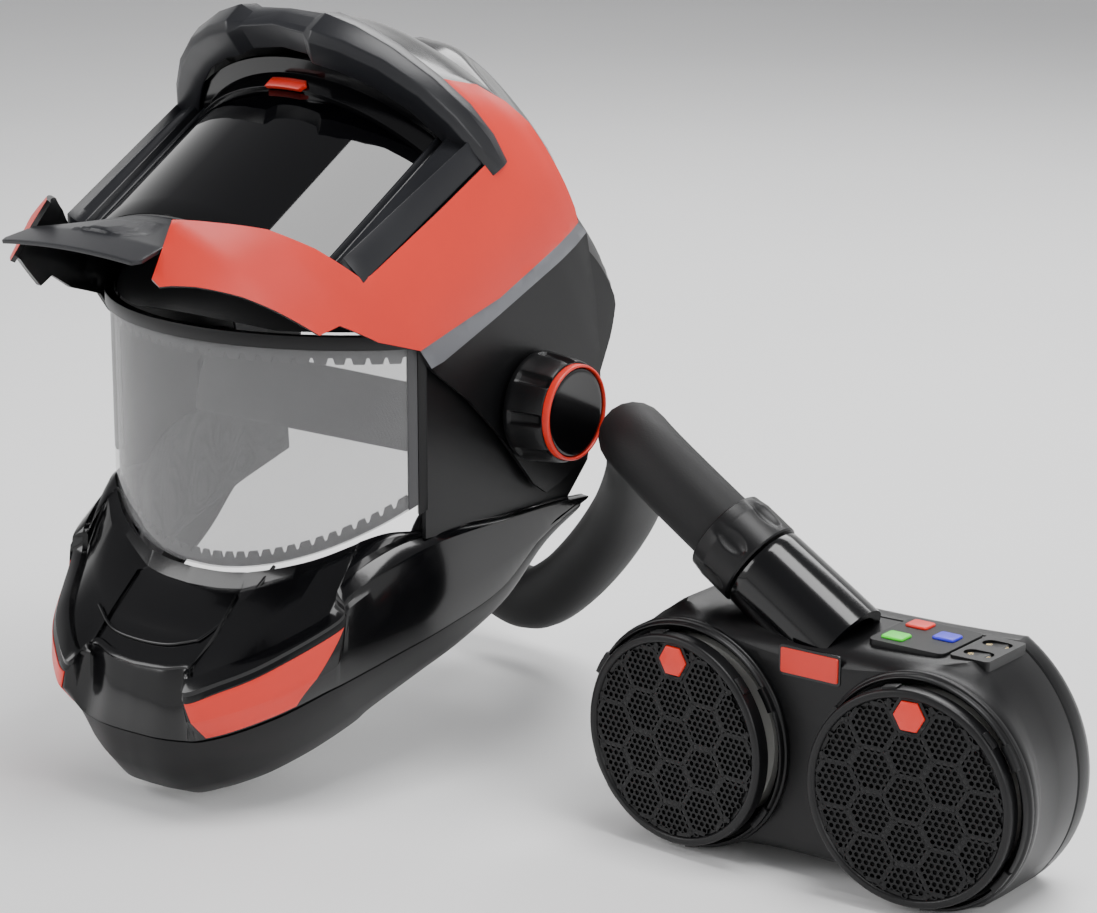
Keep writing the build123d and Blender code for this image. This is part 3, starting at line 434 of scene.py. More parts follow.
# ---- hood: drawn closed, then turned up about the pivot axis ------------------------------------
RAISE = math.radians(60)
HOOD_WIDEST, HOOD_REAR, HOOD_POWER = -70.0, 60.0, 2.15
HOOD_SECTIONS = [(-146, 101, -203), (-141, 102, -208), (-111, 108, -217), (-83, 114, -217),
                 (-57, 118.4, -213), (0, 119.8, -213), (50, 119.4, -213), (60, 119.3, -211),
                 (77, 117.8, -197), (93, 114.6, -176), (106, 98.5, -151)]
ROUND = 150.0           # one unit of the plan's running value is about this long
STRAIGHT = HOOD_REAR - HOOD_WIDEST


def up(x, y, z):
    """Closed-hood point carried to the raised hood."""
    c, s = math.cos(RAISE), math.sin(RAISE)
    return Vector((x, y * c + z * s, z * c - y * s))


def hood_section(z):
    """Half width and front of the hood's plan at a closed height."""
    z = max(HOOD_SECTIONS[0][0], min(z, HOOD_SECTIONS[-1][0]))
    for low, high in zip(HOOD_SECTIONS, HOOD_SECTIONS[1:]):
        if z <= high[0]:
            f = (z - low[0]) / (high[0] - low[0])
            return low[1] + (high[1] - low[1]) * f, low[2] + (high[2] - low[2]) * f


def hood_front(x, z):
    """Running value of the skin point seen at x from the front."""
    half, _ = hood_section(z)
    t = math.acos(min(1.0, abs(x) / half) ** (HOOD_POWER / 2))
    return math.copysign((1 - t / (math.pi / 2)) * ROUND, x), z


def hood_side(y, z):
    """Running value of the skin point seen at y from the left side."""
    _, front = hood_section(z)
    if y > HOOD_WIDEST:
        return ROUND + y - HOOD_WIDEST, z
    t = math.asin(min(1.0, (HOOD_WIDEST - y) / (HOOD_WIDEST - front)) ** (HOOD_POWER / 2))
    return (1 - t / (math.pi / 2)) * ROUND, z


def hood_skin(s, z, out=0.0):
    """Closed-hood point of the skin at a running value and height, `out` off the surface."""
    half, front = hood_section(z)
    side = math.copysign(1, s)
    s = abs(s)
    if s > ROUND:
        return Vector((side * (half + out), HOOD_WIDEST + s - ROUND, z))
    t = (1 - s / ROUND) * math.pi / 2
    x = (half + out) * math.cos(t) ** (2 / HOOD_POWER)
    y = HOOD_WIDEST - (HOOD_WIDEST - front + out) * math.sin(t) ** (2 / HOOD_POWER)
    return Vector((side * x, y, z))


def hood_panel(name, outline, slot, material, replaced, out=0.0, thickness=2.6):
    """Panels on both sides of the hood from one outline of running values and heights."""
    flat, triangles = fill(outline, 5.0)
    parts = []
    for side in (1, -1):
        shape = [up(*hood_skin(s * side, z, out)) for s, z in flat], triangles
        parts.append(shape if side > 0 else flipped(shape))
    add(name, merge(parts), "hood", slot, (material, black_satin), replaced,
        thickness=thickness, bevel=0.7, inner_material=1)


TRIM_FRONT_LOW, TRIM_FRONT_HIGH = hood_side(-87, -57), hood_side(-58, 86)
TRIM_REAR_LOW, TRIM_REAR_HIGH = hood_side(-73, -55), hood_side(-47, 91)
red_outline = [
    hood_front(44.5, -110), hood_front(49, -141), hood_front(53, -142), hood_front(66, -131),
    hood_front(81, -119), hood_side(-132, -101), hood_side(-129, -89), hood_side(-108, -76),
    TRIM_FRONT_LOW, TRIM_FRONT_HIGH, hood_side(-66, 88), hood_side(-101, 88.5),
    hood_side(-122, 90.5), hood_side(-138, 87), hood_side(-156, 77), hood_side(-172, 60),
    hood_side(-131, 43),
    hood_side(-138, -63), hood_front(92, -72), hood_front(77, -83), hood_front(60, -98)]
hood_panel("hood_red_panels", red_outline, "red_paint", red_paint, "hood_shell")
hood_panel("hood_silver_strips",
           [TRIM_FRONT_LOW, TRIM_REAR_LOW, TRIM_REAR_HIGH, TRIM_FRONT_HIGH],
           "silver_paint", silver_paint, "hood_trim", out=-0.5)
hood_panel("hood_side_wings",
           [TRIM_REAR_LOW, hood_side(-38, -40), hood_side(-8, -31), hood_side(19, -25),
            hood_side(40, -21), hood_side(52, -15), hood_side(56, 0), hood_side(58, 28),
            hood_side(55, 38), hood_side(40, 50), hood_side(12, 65), hood_side(-11, 76),
            TRIM_REAR_HIGH],
           "black_satin", black_satin, "hood_wings", out=-0.6, thickness=2.4)


def make_hood_top():
    """Glossy top: brow edge, hump, valley and the raised crest behind it."""
    # each line runs from the middle out to the side
    lines = [
        [(0, -201, 59), (28, -205, 60), (56, -198, 57), (85, -178, 51)],
        [(0, -196, 74), (28, -193, 75), (56, -183, 73), (87.5, -167, 65)],
        [(0, -186, 88), (28, -182, 88), (56, -171, 86), (91, -154, 77.5)],
        [(0, -170, 99), (28, -166, 99), (58, -154, 97), (95, -138, 87)],
        [(0, -152, 106), (28, -150, 105), (60, -139, 101), (99, -123, 90.5)],
        [(0, -146, 110), (28, -144, 108), (60, -134, 103), (101, -118, 90.5)],
        [(0, -134, 137), (26, -133, 132), (52, -131, 117), (100, -113, 92)],
        [(0, -119, 147), (24, -119, 143), (52, -118, 123), (103, -106, 91)],
        [(0, -102, 156), (24, -101, 152), (55, -100, 131), (107, -96, 90)],
        [(0, -78, 163), (24, -78, 159), (60, -80, 135), (112, -80, 89)],
        [(0, -56, 166), (24, -56, 162), (62, -62, 138), (115.5, -58, 87.6)]]
    rows = []
    for t in spread(0, len(lines) - 1, 41):
        stations = [along([line[k] for line in lines], t) for k in range(4)]
        half = [along(stations, u) for u in spread(0, 3, 16)]
        rows.append([up(*p) for p in mirrored(half)])
    add("hood_top_cover", flipped(grid(rows)), "hood", "black_gloss", (black_gloss, black_satin),
        "hood_top", thickness=2.4, bevel=0.6, inner_material=1)


make_hood_top()


def make_brow():
    """Faceted ridge over the window with two peaks and a notch in the middle."""
    # x, low edge height, top edge height, how far the ridge stands out
    stations = [(0, 40, 57, 1), (22, 38, 58, 1), (29, 33, 62, 6.5), (46, 34.5, 61, 6),
                (66, 37, 59, 5.5), (85, 39.5, 59, 5), (98, 40.5, 60, 4.5), (107, 41, 59, 4),
                (112.5, 42.5, 56, 2.5)]
    rows = []
    for x, low, top, out in [(-s[0], *s[1:]) for s in reversed(stations[1:])] + stations:
        section = [(low, -15), (low, 0.2), (low + 4, out * 0.8), (low + (top - low) * 0.62, out),
                   (top, out * 0.35), (top + 1, -9)]
        rows.append([up(*hood_skin(hood_front(x, z)[0], z, lift)) for z, lift in section])
    add("hood_brow_ridge", flipped(capped(rows)), "hood", "black_satin", (grey_satin,),
        "hood_brow", bevel=0.9, sharp=25)


make_brow()

# ---- window: dark lens, frame, rails, clip and lip plate ----------------------------------------
LENS_R, LENS_Y, LENS_ARC = 116.0, -61.0, 46.0
LENS_LOW, LENS_HIGH = -79.0, 40.0


def lens_point(angle, z, r):
    """Raised-hood point at an angle round the lens's axis and a closed height."""
    a = math.radians(angle)
    return up(r * math.sin(a), LENS_Y - r * math.cos(a), z)


def make_lens():
    """The dark window's curved outer pane."""
    rows = [[lens_point(a, z, LENS_R) for a in spread(-LENS_ARC, LENS_ARC, 49)]
            for z in spread(LENS_LOW + 1, LENS_HIGH - 7, 9)]
    add("window_lens", grid(rows), "hood", "dark_lens", (lens_black,), "front_lens",
        thickness=1.8, bevel=0.4)


make_lens()


def make_window_frame():
    """Side channels with rails, the flat side strips, and the header over the lens."""
    low, high = -64, 42
    edge_angle = math.radians(LENS_ARC)
    edge_x, edge_y = LENS_R * math.sin(edge_angle), LENS_Y - LENS_R * math.cos(edge_angle)
    rows = []
    for z in spread(low, high, 12):
        f = (z - low) / (high - low)
        strip_in = Vector((99 + 6 * f, -153 + 6 * f, z))
        strip_out = Vector((107 + 2.5 * f, -138 + 5 * f, z))
        edge = Vector((edge_x, edge_y, z))
        rail = [edge + Vector((dx, dy, 0)) for dx, dy in (
            (-1.5, -1.0), (-1.2, -4.0), (1.0, -4.8), (2.0, -1.5), (5.0, -0.5), (6.5, -5.0),
            (9.0, -5.5))]
        strip = [strip_in + Vector((-3.0, 4.0, 0)), strip_in + Vector((0, 0.6, 0)),
                 strip_out + Vector((-0.5, 0.6, 0)), strip_out + Vector((-2.5, 3.0, 0))]
        rows.append(rail + strip + [edge + Vector((4, 5, 0)), edge + Vector((-1.5, 3.0, 0))])
    for side, name in SIDES:
        shape = capped([[up(p.x * side, p.y, p.z) for p in row] for row in rows])
        add("window_side_frame_" + name, flipped(shape) if side > 0 else shape, "hood",
            "black_satin", (grey_satin,), "filter_housing", bevel=0.5, sharp=30)
    # height, distance from the lens's axis
    section = [(LENS_HIGH - 9, LENS_R - 3), (LENS_HIGH - 9, LENS_R + 1.2),
               (LENS_HIGH + 2, LENS_R + 2.5), (LENS_HIGH + 3, LENS_R + 12),
               (LENS_HIGH + 5, LENS_R + 12), (LENS_HIGH + 5, LENS_R - 3)]
    header = [[lens_point(a, z, r) for a in spread(-49, 49, 41)] for z, r in section]
    add("window_header", grid(header), "hood", "black_gloss", (black_gloss,),
        thickness=0.8, bevel=0.3)


make_window_frame()


def make_clip():
    """Small red latch: notched at one end and pointed at the other."""
    outline = [(-13, -4), (11, -4), (13.5, 0), (11, 4), (-13, 4), (-11, 0)]
    flat, triangles = fill(outline, 2.0)
    points = [lens_point(math.degrees(x / LENS_R), 33 + z, LENS_R + 4.5 - abs(z) * 0.35)
              for x, z in flat]
    add("window_latch", (points, triangles), "hood", "red_paint", (red_paint,), "lens_clip",
        thickness=3.0, bevel=0.4)


make_clip()


def lip_surface(x, z):
    """Closed-hood depth of the centre plate under the lens, with its three-step emblem seat."""
    top = LENS_Y - math.sqrt(LENS_R**2 - min(abs(x), 80) ** 2)
    fold, front = -124, -203 + 0.0015 * x * x
    if z > fold:
        y = top + (front - top) * ((LENS_LOW - z) / (LENS_LOW - fold))
    else:
        y = front - 8.5 * (fold - z) / 22
    reach = max(abs(x) * 0.87 + abs(z + 112) * 0.5, abs(z + 112))
    for step in (20, 15, 10):
        if reach < step and z > fold:
            y -= min(1.0, (step - reach) / 1.2)
    return y


def make_lip():
    """The plate in the hood's middle below the lens."""
    outline = [(-75, -80), (-46.5, -107), (-44, -111), (-48.5, -141), (-46, -145.5), (46, -145.5),
               (48.5, -141), (44, -111), (46.5, -107), (75, -80)]
    flat, triangles = fill(outline, 2.2)
    add("hood_centre_plate", ([up(x, lip_surface(x, z), z) for x, z in flat], triangles), "hood",
        "black_gloss", (grey_satin,), "lip_plate", thickness=2.2, bevel=0.4, sharp=28)


make_lip()

# ---- chin: shelf, rim, outer face and skirt lofted along stations from the middle to the rear ---
VISOR_R, VISOR_Y = 140.0, -2.0
CHIN_LINES = {
    "under visor": [(0, -138, -86), (19, -136.5, -85.5), (33, -134, -84), (36, -133, -84),
                    (52, -127, -80), (70, -118, -74), (86, -107, -66), (89, -104, -63),
                    (98, -95, -58), (107, -78, -57), (109, -25, -60), (110, 27, -62),
                    (110, 54, -64)],
    "lip": [(0, -143.5, -79.5), (19, -142, -79), (33, -139.5, -77.5), (36, -139, -77),
            (53, -133, -73), (71, -124, -67), (87, -112.5, -59), (90, -110, -57), (100, -100, -53),
            (109, -80, -54), (111.5, -25, -58.5), (112, 27, -61), (112, 54, -63.5)],
    "lip foot": [(0, -148, -87.5), (19, -146.5, -87), (33, -144, -85.5), (36, -143, -85),
                 (54, -136, -78), (72, -127, -71), (88, -114.5, -61.5), (91, -112, -59),
                 (101, -101, -54), (109.4, -80, -54.5), (112, -25, -58.8), (112.5, 27, -61.2),
                 (112.5, 54, -63.5)],
    "crease": [(0, -153, -89), (19, -152, -88.5), (35, -149, -87), (38, -148, -86.5),
               (56, -140.5, -80), (73, -131, -73), (89, -117.5, -63.5), (92, -115, -61),
               (102, -102, -55), (110, -80, -55), (112.5, -25, -59), (113, 27, -61.4),
               (113, 54, -63.6)],
    "shelf": [(0, -172, -107), (19, -171, -106.5), (36, -168, -105), (38, -168, -105),
              (56, -159, -100), (73, -147, -91), (90, -128, -80), (92.5, -124, -69),
              (102.8, -103, -58), (110.3, -77, -56.5), (112.8, -25, -59.2), (113.3, 27, -61.5),
              (113.3, 54, -63.7)],
    "rim foot": [(0, -187, -119.5), (19, -185.5, -118.5), (35, -182, -116.5), (37.5, -191, -123.5),
                 (53, -181.5, -116.8), (72, -162.5, -106.5), (89, -136, -91), (92.5, -129, -75.5),
                 (103, -101, -61), (110.6, -72, -58), (113, -25, -59.6), (113.6, 27, -61.7),
                 (113.6, 54, -63.8)],
    "rim inner": [(0, -188.5, -119), (19, -187, -118), (35, -183.5, -116), (38.5, -193.5, -121.5),
                  (54.5, -184, -114.6), (73.5, -165, -104.6), (91, -138, -90), (94.3, -131, -74.5),
                  (104.5, -100.5, -60.5), (111.6, -71, -57.4), (113.8, -25, -59.4),
                  (114.2, 27, -61.6), (114.2, 54, -63.8)],
    "rim outer": [(0, -191.5, -121.5), (19, -190, -120.5), (35.2, -186.5, -118.5),
                  (41.5, -199, -127), (58.5, -189.5, -120.5), (77, -172, -110.5), (98, -138.5, -92),
                  (100.5, -133.5, -80), (109.5, -101, -67), (115.3, -72, -61), (116.8, -25, -60.8),
                  (117.2, 27, -62), (117.2, 54, -64)],
    "groove": [(0, -190.6, -123), (19, -189.2, -122), (35.2, -185.8, -120), (42, -198.6, -129.4),
               (58.6, -189, -122.6), (77, -171.6, -112.6), (98, -138.3, -94), (100.8, -133.3, -83),
               (109.6, -100.9, -69), (115.3, -71.9, -63), (116.8, -25, -62), (117.2, 27, -62.6),
               (117.2, 54, -64.3)],
    "face top": [(0, -191.6, -124.6), (19, -190.2, -123.6), (35.3, -186.9, -121.6),
                 (43, -199.8, -132), (60, -190.2, -125), (78, -173, -115), (99.5, -138.2, -95.8),
                 (102.2, -134, -85.6), (110.6, -101.6, -72), (116, -72, -66), (117.2, -25, -64.5),
                 (117.4, 27, -63.6), (117.4, 54, -64.6)],
    "face": [(0, -194, -142), (19, -193, -141.5), (35.5, -189, -140), (45.5, -199, -143),
             (62, -189.5, -138), (80, -172.5, -130), (98, -145, -118), (102, -136, -109),
             (110.8, -101, -98), (116.2, -71, -90), (117.4, -25, -84), (117.4, 27, -72),
             (117.4, 52, -65.5)],
    "seam": [(0, -197.5, -157.5), (19, -196.5, -157.5), (35, -192.5, -157), (45, -189.5, -155.5),
             (61, -180.5, -150), (79, -163.5, -141), (93, -142.5, -131), (98.5, -132, -127),
             (107.5, -102, -118), (114.3, -70, -110), (117, -25, -99), (117.2, 13, -77),
             (117.2, 48, -66.2)],
    "seam return": [(0, -192.5, -158.5), (19, -191.5, -158.5), (34, -187.5, -158),
                    (43.5, -185, -156.5), (58.5, -177, -151), (76, -160.5, -142),
                    (89.5, -141, -132), (95, -131, -128), (103.5, -101, -119), (110.3, -70, -111),
                    (113, -25, -99.5), (113.4, 13, -77.4), (113.4, 48, -66.4)],
}
SKIRT_LINES = {
    "hidden top": [(0, -190, -155), (19, -189, -155), (35, -184, -154), (44, -181, -152.5),
                   (58, -173.5, -148), (75, -157, -139), (88, -138.5, -129), (93, -130, -125),
                   (102, -101, -116), (108.8, -69, -108), (111.4, -25, -97.5), (112, 13, -76),
                   (112, 48, -66)],
    "top": [(0, -196, -159), (19, -195, -159), (35, -191, -158.4), (45, -187.8, -157),
            (61, -178.8, -151.5), (79, -161.8, -142.5), (92.5, -141.2, -132.4),
            (97.8, -131, -128.4), (106.6, -101.4, -119.4), (113.2, -69.5, -111.2),
            (115.8, -25, -100.2), (116.4, 13, -78), (116.6, 48, -67)],
    "belly": [(0, -193, -178), (19, -191.5, -177.5), (35, -186, -173), (45, -181, -169.5),
              (60, -171.5, -164), (77, -154.5, -153.5), (89.5, -134.5, -142), (94, -124.5, -137),
              (103.5, -93.5, -126.5), (110.5, -62, -117), (114.8, -22, -103.5), (116, 15, -80),
              (116.4, 48, -68)],
    "turn": [(0, -181, -192), (18, -180, -191.5), (33, -175, -187.5), (43, -169.5, -184),
             (57, -160, -177), (74, -143.5, -166), (86.5, -123.5, -154), (91, -113.5, -148),
             (101, -84, -134.5), (109, -54, -122), (113.5, -18, -106), (115.4, 16, -82),
             (116, 48, -69)],
    "hem": [(0, -164, -199.5), (17, -163, -199), (31, -158, -194.5), (40, -153, -191),
            (54, -144.5, -184), (70, -129, -172.5), (82.5, -110.5, -160), (87, -101, -153),
            (97.5, -74, -138.5), (106.5, -47, -125), (112, -14, -108), (114.4, 17, -83.5),
            (115.2, 48, -70)],
    "hem inner": [(0, -161, -198), (17, -160, -197.5), (31, -155, -193), (39, -150, -189.5),
                  (52, -141.5, -182.5), (68, -126, -171), (80, -108, -158), (84.5, -98.5, -151),
                  (95, -72, -136.5), (104, -45.5, -123), (109.8, -13, -106.5), (112.2, 17, -82.5),
                  (113, 48, -69.5)],
}


def loft_lines(name, lines, slot, material, *replaced, **finish):
    """A piece lofted across lines that share the same stations, on both sides."""
    rows = [mirrored([along(line, t) for t in spread(0, len(line) - 1, 73)])
            for line in lines.values()]
    add(name, grid(rows), "helmet", slot, (material,), *replaced, **finish)


loft_lines("chin_guard_body", CHIN_LINES, "black_gloss", black_gloss, "chin_guard", "chin_shelf",
           thickness=1.6, bevel=0.5, sharp=40)
loft_lines("chin_skirt", SKIRT_LINES, "black_satin", black_satin, "jaw_skirt",
           thickness=1.4, bevel=0.4, sharp=50)


def chin_point(t, down, out):
    """Point of the chin's outer face at a station: 0 at its top line and 1 at the seam."""
    top, middle, low = (along(CHIN_LINES[k], t) for k in ("face top", "face", "seam"))
    p = top.lerp(middle, down * 2) if down < 0.5 else middle.lerp(low, down * 2 - 1)
    away = Vector((p.x, p.y + 20, 0)).normalized()
    return p + away * out


def make_accents():
    """The two coloured panels, each a slanted stretch of the outer face."""
    parts = []
    for side in (1, -1):
        rows = []
        for down in spread(0.03, 0.97, 9):
            first, last = 3.05 + 0.2 * down, 6.15 - 0.85 * down
            row = [chin_point(t, down, 0.6) for t in spread(first, last, 33)]
            rows.append([Vector((p.x * side, p.y, p.z)) for p in row])
        parts.append(grid(rows) if side < 0 else flipped(grid(rows)))
    add("chin_colour_panels", merge(parts), "helmet", "red_paint", (red_paint,), "accent_panels",
        thickness=0.8, bevel=0.25)


make_accents()

# raised line on the shelf, from the visor's lip round the front
RIB = [(47, -131, -73.5), (45, -141, -82), (43, -149, -89.5), (39, -158, -97), (31, -171, -106.5),
       (27, -173.5, -108.3), (12, -178.5, -111.8), (-10, -179.5, -112.6), (-30, -177, -110.8),
       (-48, -168, -104)]


def make_rib():
    """Thin raised line that crosses the shelf."""
    path = [along(RIB, t) for t in spread(0, len(RIB) - 1, 60)]
    add("chin_shelf_rib", tube_along(path, 1.0), "helmet", "black_gloss", (black_gloss,), sharp=60)


make_rib()

# ---- visor, rim, gasket band with its comb of notches -------------------------------------------
VISOR_ARC = 52.0
TOOTH = 3.5             # depth of the comb's notches


def visor_point(angle, z, r):
    """Point at an angle round the visor's axis."""
    a = math.radians(angle)
    return Vector((r * math.sin(a), VISOR_Y - r * math.cos(a), z))


def visor_bottom(angle):
    """The visor's lower edge rises towards its sides."""
    y = VISOR_Y - VISOR_R * math.cos(math.radians(angle))
    return max(-78.0, -84 + (y + 150) * 51 / 70)


def make_band(name, low, high, r_in, r_out, teeth, slot, material, *replaced):
    """Band round the visor; low None means along its lower edge, with high as the width."""
    angles = spread(-VISOR_ARC + 0.5, VISOR_ARC - 0.5, 209)
    rows = [[], [], [], []]
    for a in angles:
        bottom = visor_bottom(a) + 0.4 if low is None else low
        top = bottom + high if low is None else high
        if teeth and math.sin(math.radians(a) * teeth * 3.4) > 0.55:
            if low is None:
                top -= TOOTH
            else:
                bottom += TOOTH
        for row, (r, z) in zip(rows, ((r_out, bottom), (r_out, top), (r_in, top), (r_in, bottom))):
            row.append(visor_point(a, z, r))
    points, faces = grid(rows + rows[:1])
    last = len(angles)
    faces += [(0, last, 2 * last, 3 * last), (4 * last - 1, 3 * last - 1, 2 * last - 1, last - 1)]
    add(name, (points, faces), "helmet", slot, (material,), *replaced, bevel=0.0 if teeth else 0.3)


def make_uprights(name, first, last, drop, slot, material):
    """Upright strips at both ends of the visor, between two angles."""
    parts = []
    for side in (1, -1):
        rows = []
        for f in spread(0, 1, 15):
            row = []
            for a, r in ((first, 136.8), (first, 140.7), (last, 140.7), (last, 136.8)):
                low = visor_bottom(a) - drop
                row.append(visor_point(side * a, low + 0.2 + (49.0 - low) * f, r))
            rows.append(row)
        parts.append(capped(rows))
    add(name, merge(parts), "helmet", slot, (material,), bevel=0.3)


def make_visor():
    """Clear sheet, rim and comb bands, the strips round its ends and the jambs behind them."""
    angles = spread(-VISOR_ARC, VISOR_ARC, 73)
    rows = [[visor_point(a, visor_bottom(a) + (50 - visor_bottom(a)) * f, VISOR_R) for a in angles]
            for f in spread(0, 1, 13)]
    add("clear_visor", grid(rows), "helmet", "clear", (visor_clear,), "visor",
        thickness=1.9, bevel=0.3)
    make_band("visor_top_rim", 46.5, 54, 137.6, 142.8, 0, "black_satin", black_satin, "visor_rim")
    make_band("visor_upper_comb", 38, 47, 136.6, 137.9, 26, "rubber_black", comb_grey)
    make_band("visor_lower_comb", None, 8, 136.6, 137.9, 34, "rubber_black", comb_grey,
              "visor_gasket")
    make_uprights("visor_side_strips", 50.2, 52.3, 0, "rubber_black", comb_grey)
    make_uprights("visor_side_jambs", 52.4, 54.4, 6, "black_satin", black_satin)


make_visor()

# ---- pivot knobs --------------------------------------------------------------------------------
KNOB_IN = 121.6


def make_knob(side, name):
    """Eight-lobed knob with its red ring and glossy cap."""
    # radius, distance from the hood, depth of the finger notches there
    profile = [(9, 0, 0), (28.5, 0, 0), (30, 0.8, 0), (30.3, 3.5, 0.2), (29.9, 5, 1.6),
               (29.3, 12, 2.6), (28.6, 20, 2.8), (28.0, 23, 2.4), (27.4, 24.2, 0.6), (26.6, 24.6,
                                                                                      0),
               (26.3, 22, 0), (9, 22, 0)]
    rows = []
    for r, d, cut in profile:
        row = []
        for a in turns(192):
            notch = max(0.0, min(1.0, (math.cos(8 * a) - 0.55) / 0.2))
            reach = r - cut * notch
            row.append(Vector((side * (KNOB_IN + d), reach * math.cos(a), reach * math.sin(a))))
        rows.append(row)
    shape = grid(rows, closed=True)
    body = name + "_knob"
    add("pivot_knob_" + name, shape if side > 0 else flipped(shape), body, "black_satin",
        (black_satin,), "knob_" + name, bevel=0.3, sharp=30)
    ring = [(24.6, 23.5), (24.6, 28.0), (24.9, 28.5), (25.5, 28.6), (26.1, 28.2), (26.3, 27),
            (26.3, 23.8)]
    cap = [(0, 27.0), (14, 27.2), (21, 27.6), (23.4, 27.7), (24.2, 27.2), (24.4, 26), (24.4, 22.5)]
    for part, outline, slot, material in (("ring_", ring, "red_paint", red_paint),
                                          ("cap_", cap, "black_gloss", black_gloss)):
        shape = lathe(outline, (side * KNOB_IN, 0, 0), (side, 0, 0), (0, 0, 1))
        add("pivot_knob_" + part + name, shape, body, slot, (material,), "knob_" + part + name,
            sharp=50)


for side, name in SIDES:
    make_knob(side, name)


# ---- inner helmet shell -------------------------------------------------------------------------
def make_inner_shell():
    """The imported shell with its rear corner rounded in."""
    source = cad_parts["helmet_shell"]
    points = []
    for vertex in source.data.vertices:
        p = (source.matrix_world @ vertex.co) / MM
        reach, angle = math.hypot(p.y, p.z), math.degrees(math.atan2(p.z, p.y))
        if p.y > 20 and p.z > -5:
            limit = 84 + max(0.0, angle - 15) * 1.1
            f = min(1.0, limit / reach)
            p.y, p.z = p.y * f, p.z * f
        points.append(p)
    faces = [tuple(f.vertices) for f in source.data.polygons]
    add("inner_helmet_shell", (points, faces), "helmet", "black_satin", (black_satin,),
        "helmet_shell", sharp=30)


make_inner_shell()

# ---- headgear and lining ------------------------------------------------------------------------
HEAD_TILT = math.radians(19)
BAND_X, BAND_Y = 86.0, 99.0


def head_point(angle, reach, height):
    """Point on the head band's oval: angle 0 is the brow, height is across the band."""
    a = math.radians(angle)
    x, y = (BAND_X + reach) * math.sin(a), -(BAND_Y + reach) * math.cos(a)
    c, s = math.cos(HEAD_TILT), math.sin(HEAD_TILT)
    return Vector((x, 2 + y * c + height * s, -22 - y * s + height * c))


def make_pad(name, first, last, reach_in, reach_out, tall, body, *replaced):
    """Crowned cloth pad with two sewn channels along the band."""
    middle, half = (reach_in + reach_out) / 2, (reach_out - reach_in) / 2
    rows = []
    for a in spread(first, last, 61):
        end = min(a - first, last - a) / (last - first)
        full = min(1.0, end * 14) ** 0.5
        pucker = 1 + 0.05 * math.sin(math.radians(a) * 34)
        row = []
        for f in turns(32):
            across, over = math.cos(f), math.sin(f)
            channel = 0.28 * math.exp(-((abs(across) - 0.42) / 0.07) ** 2)
            bulge = (abs(over) ** 0.55) * math.copysign(1, over) * (1 - channel)
            row.append(head_point(a, middle + half * bulge * full * pucker,
                                  across * tall * (0.86 + 0.14 * full)))
        rows.append(row)
    piece = add(name, capped(rows), body, "foam", (pad_cloth,), *replaced, sharp=70)


make_pad("brow_sweat_pad", -68, 68, 0.4, 4.8, 18.5, "headgear", "brow_pad")
make_pad("rear_sweat_pad", 138, 222, -8.6, -4.4, 12.6, "rear_cradle", "rear_pad")

SEAL_LINES = [
    [(0, -158, -125), (40, -150, -121), (70, -132, -114), (88, -108, -102), (97, -86, -88),
     (100, -78, -54), (102, -46, -33), (103, 0, -32), (103, 48, -32)],
    [(0, -160.5, -132), (40, -152.5, -128), (71, -133.5, -121), (89.5, -109, -111),
     (98.5, -86, -99), (101.5, -74, -75), (103, -46, -60), (102.5, 0, -52), (103.5, 48, -48)],
    [(0, -162, -141), (40, -153.5, -138), (71, -134, -131), (90, -108, -123), (99, -84, -113),
     (102, -70, -97), (103.4, -46, -85), (103.5, 0, -72), (103.5, 48, -60)],
    [(0, -161, -148), (39, -152.5, -146), (70, -133, -139), (89, -107, -131), (98, -83, -121),
     (101.5, -69, -112), (102.6, -46, -99), (103, 0, -83), (103, 48, -70)]]


def make_seal():
    """Stuffed cloth band between the chin and the jaw, with soft folds."""
    rows = []
    for k in spread(0, 3, 13):
        half = []
        for t in spread(0, 8, 65):
            p = along([along(line, t) for line in SEAL_LINES], k)
            fold = 0.5 * math.sin(t * 9.0) * math.sin(k * 1.05)
            half.append(p + Vector((p.x, p.y + 20, 0)).normalized() * fold)
        rows.append(mirrored(half))
    piece = add("face_seal_cloth", grid(rows), "helmet", "lining", (seal_cloth,), "face_seal",
                thickness=1.6, bevel=0.4, sharp=60)


make_seal()

# ---- blower housing -----------------------------------------------------------------------------
BLOWER_X, BLOWER_Z, LOBE = 336.6, -140.0, 70.0
FRONT_Y = -58.0


def at_blower(x, y, z):
    """Point from the blower's middle; y stays the row frame's."""
    return Vector((BLOWER_X + x, y, BLOWER_Z + z))


def body_outline(base, half, top_x, top, sag, waist):
    """Two lobes with a sagging deck above and a waist below, anticlockwise from the front."""
    low = -61.5
    return (arc3((base, low), (half, -2), (top_x, top), 40)
            + arc3((top_x, top), (0, sag), (-top_x, top), 36)
            + arc3((-top_x, top), (-half, -2), (-base, low), 40)
            + arc3((-base, low), (0, waist), (base, low), 36))


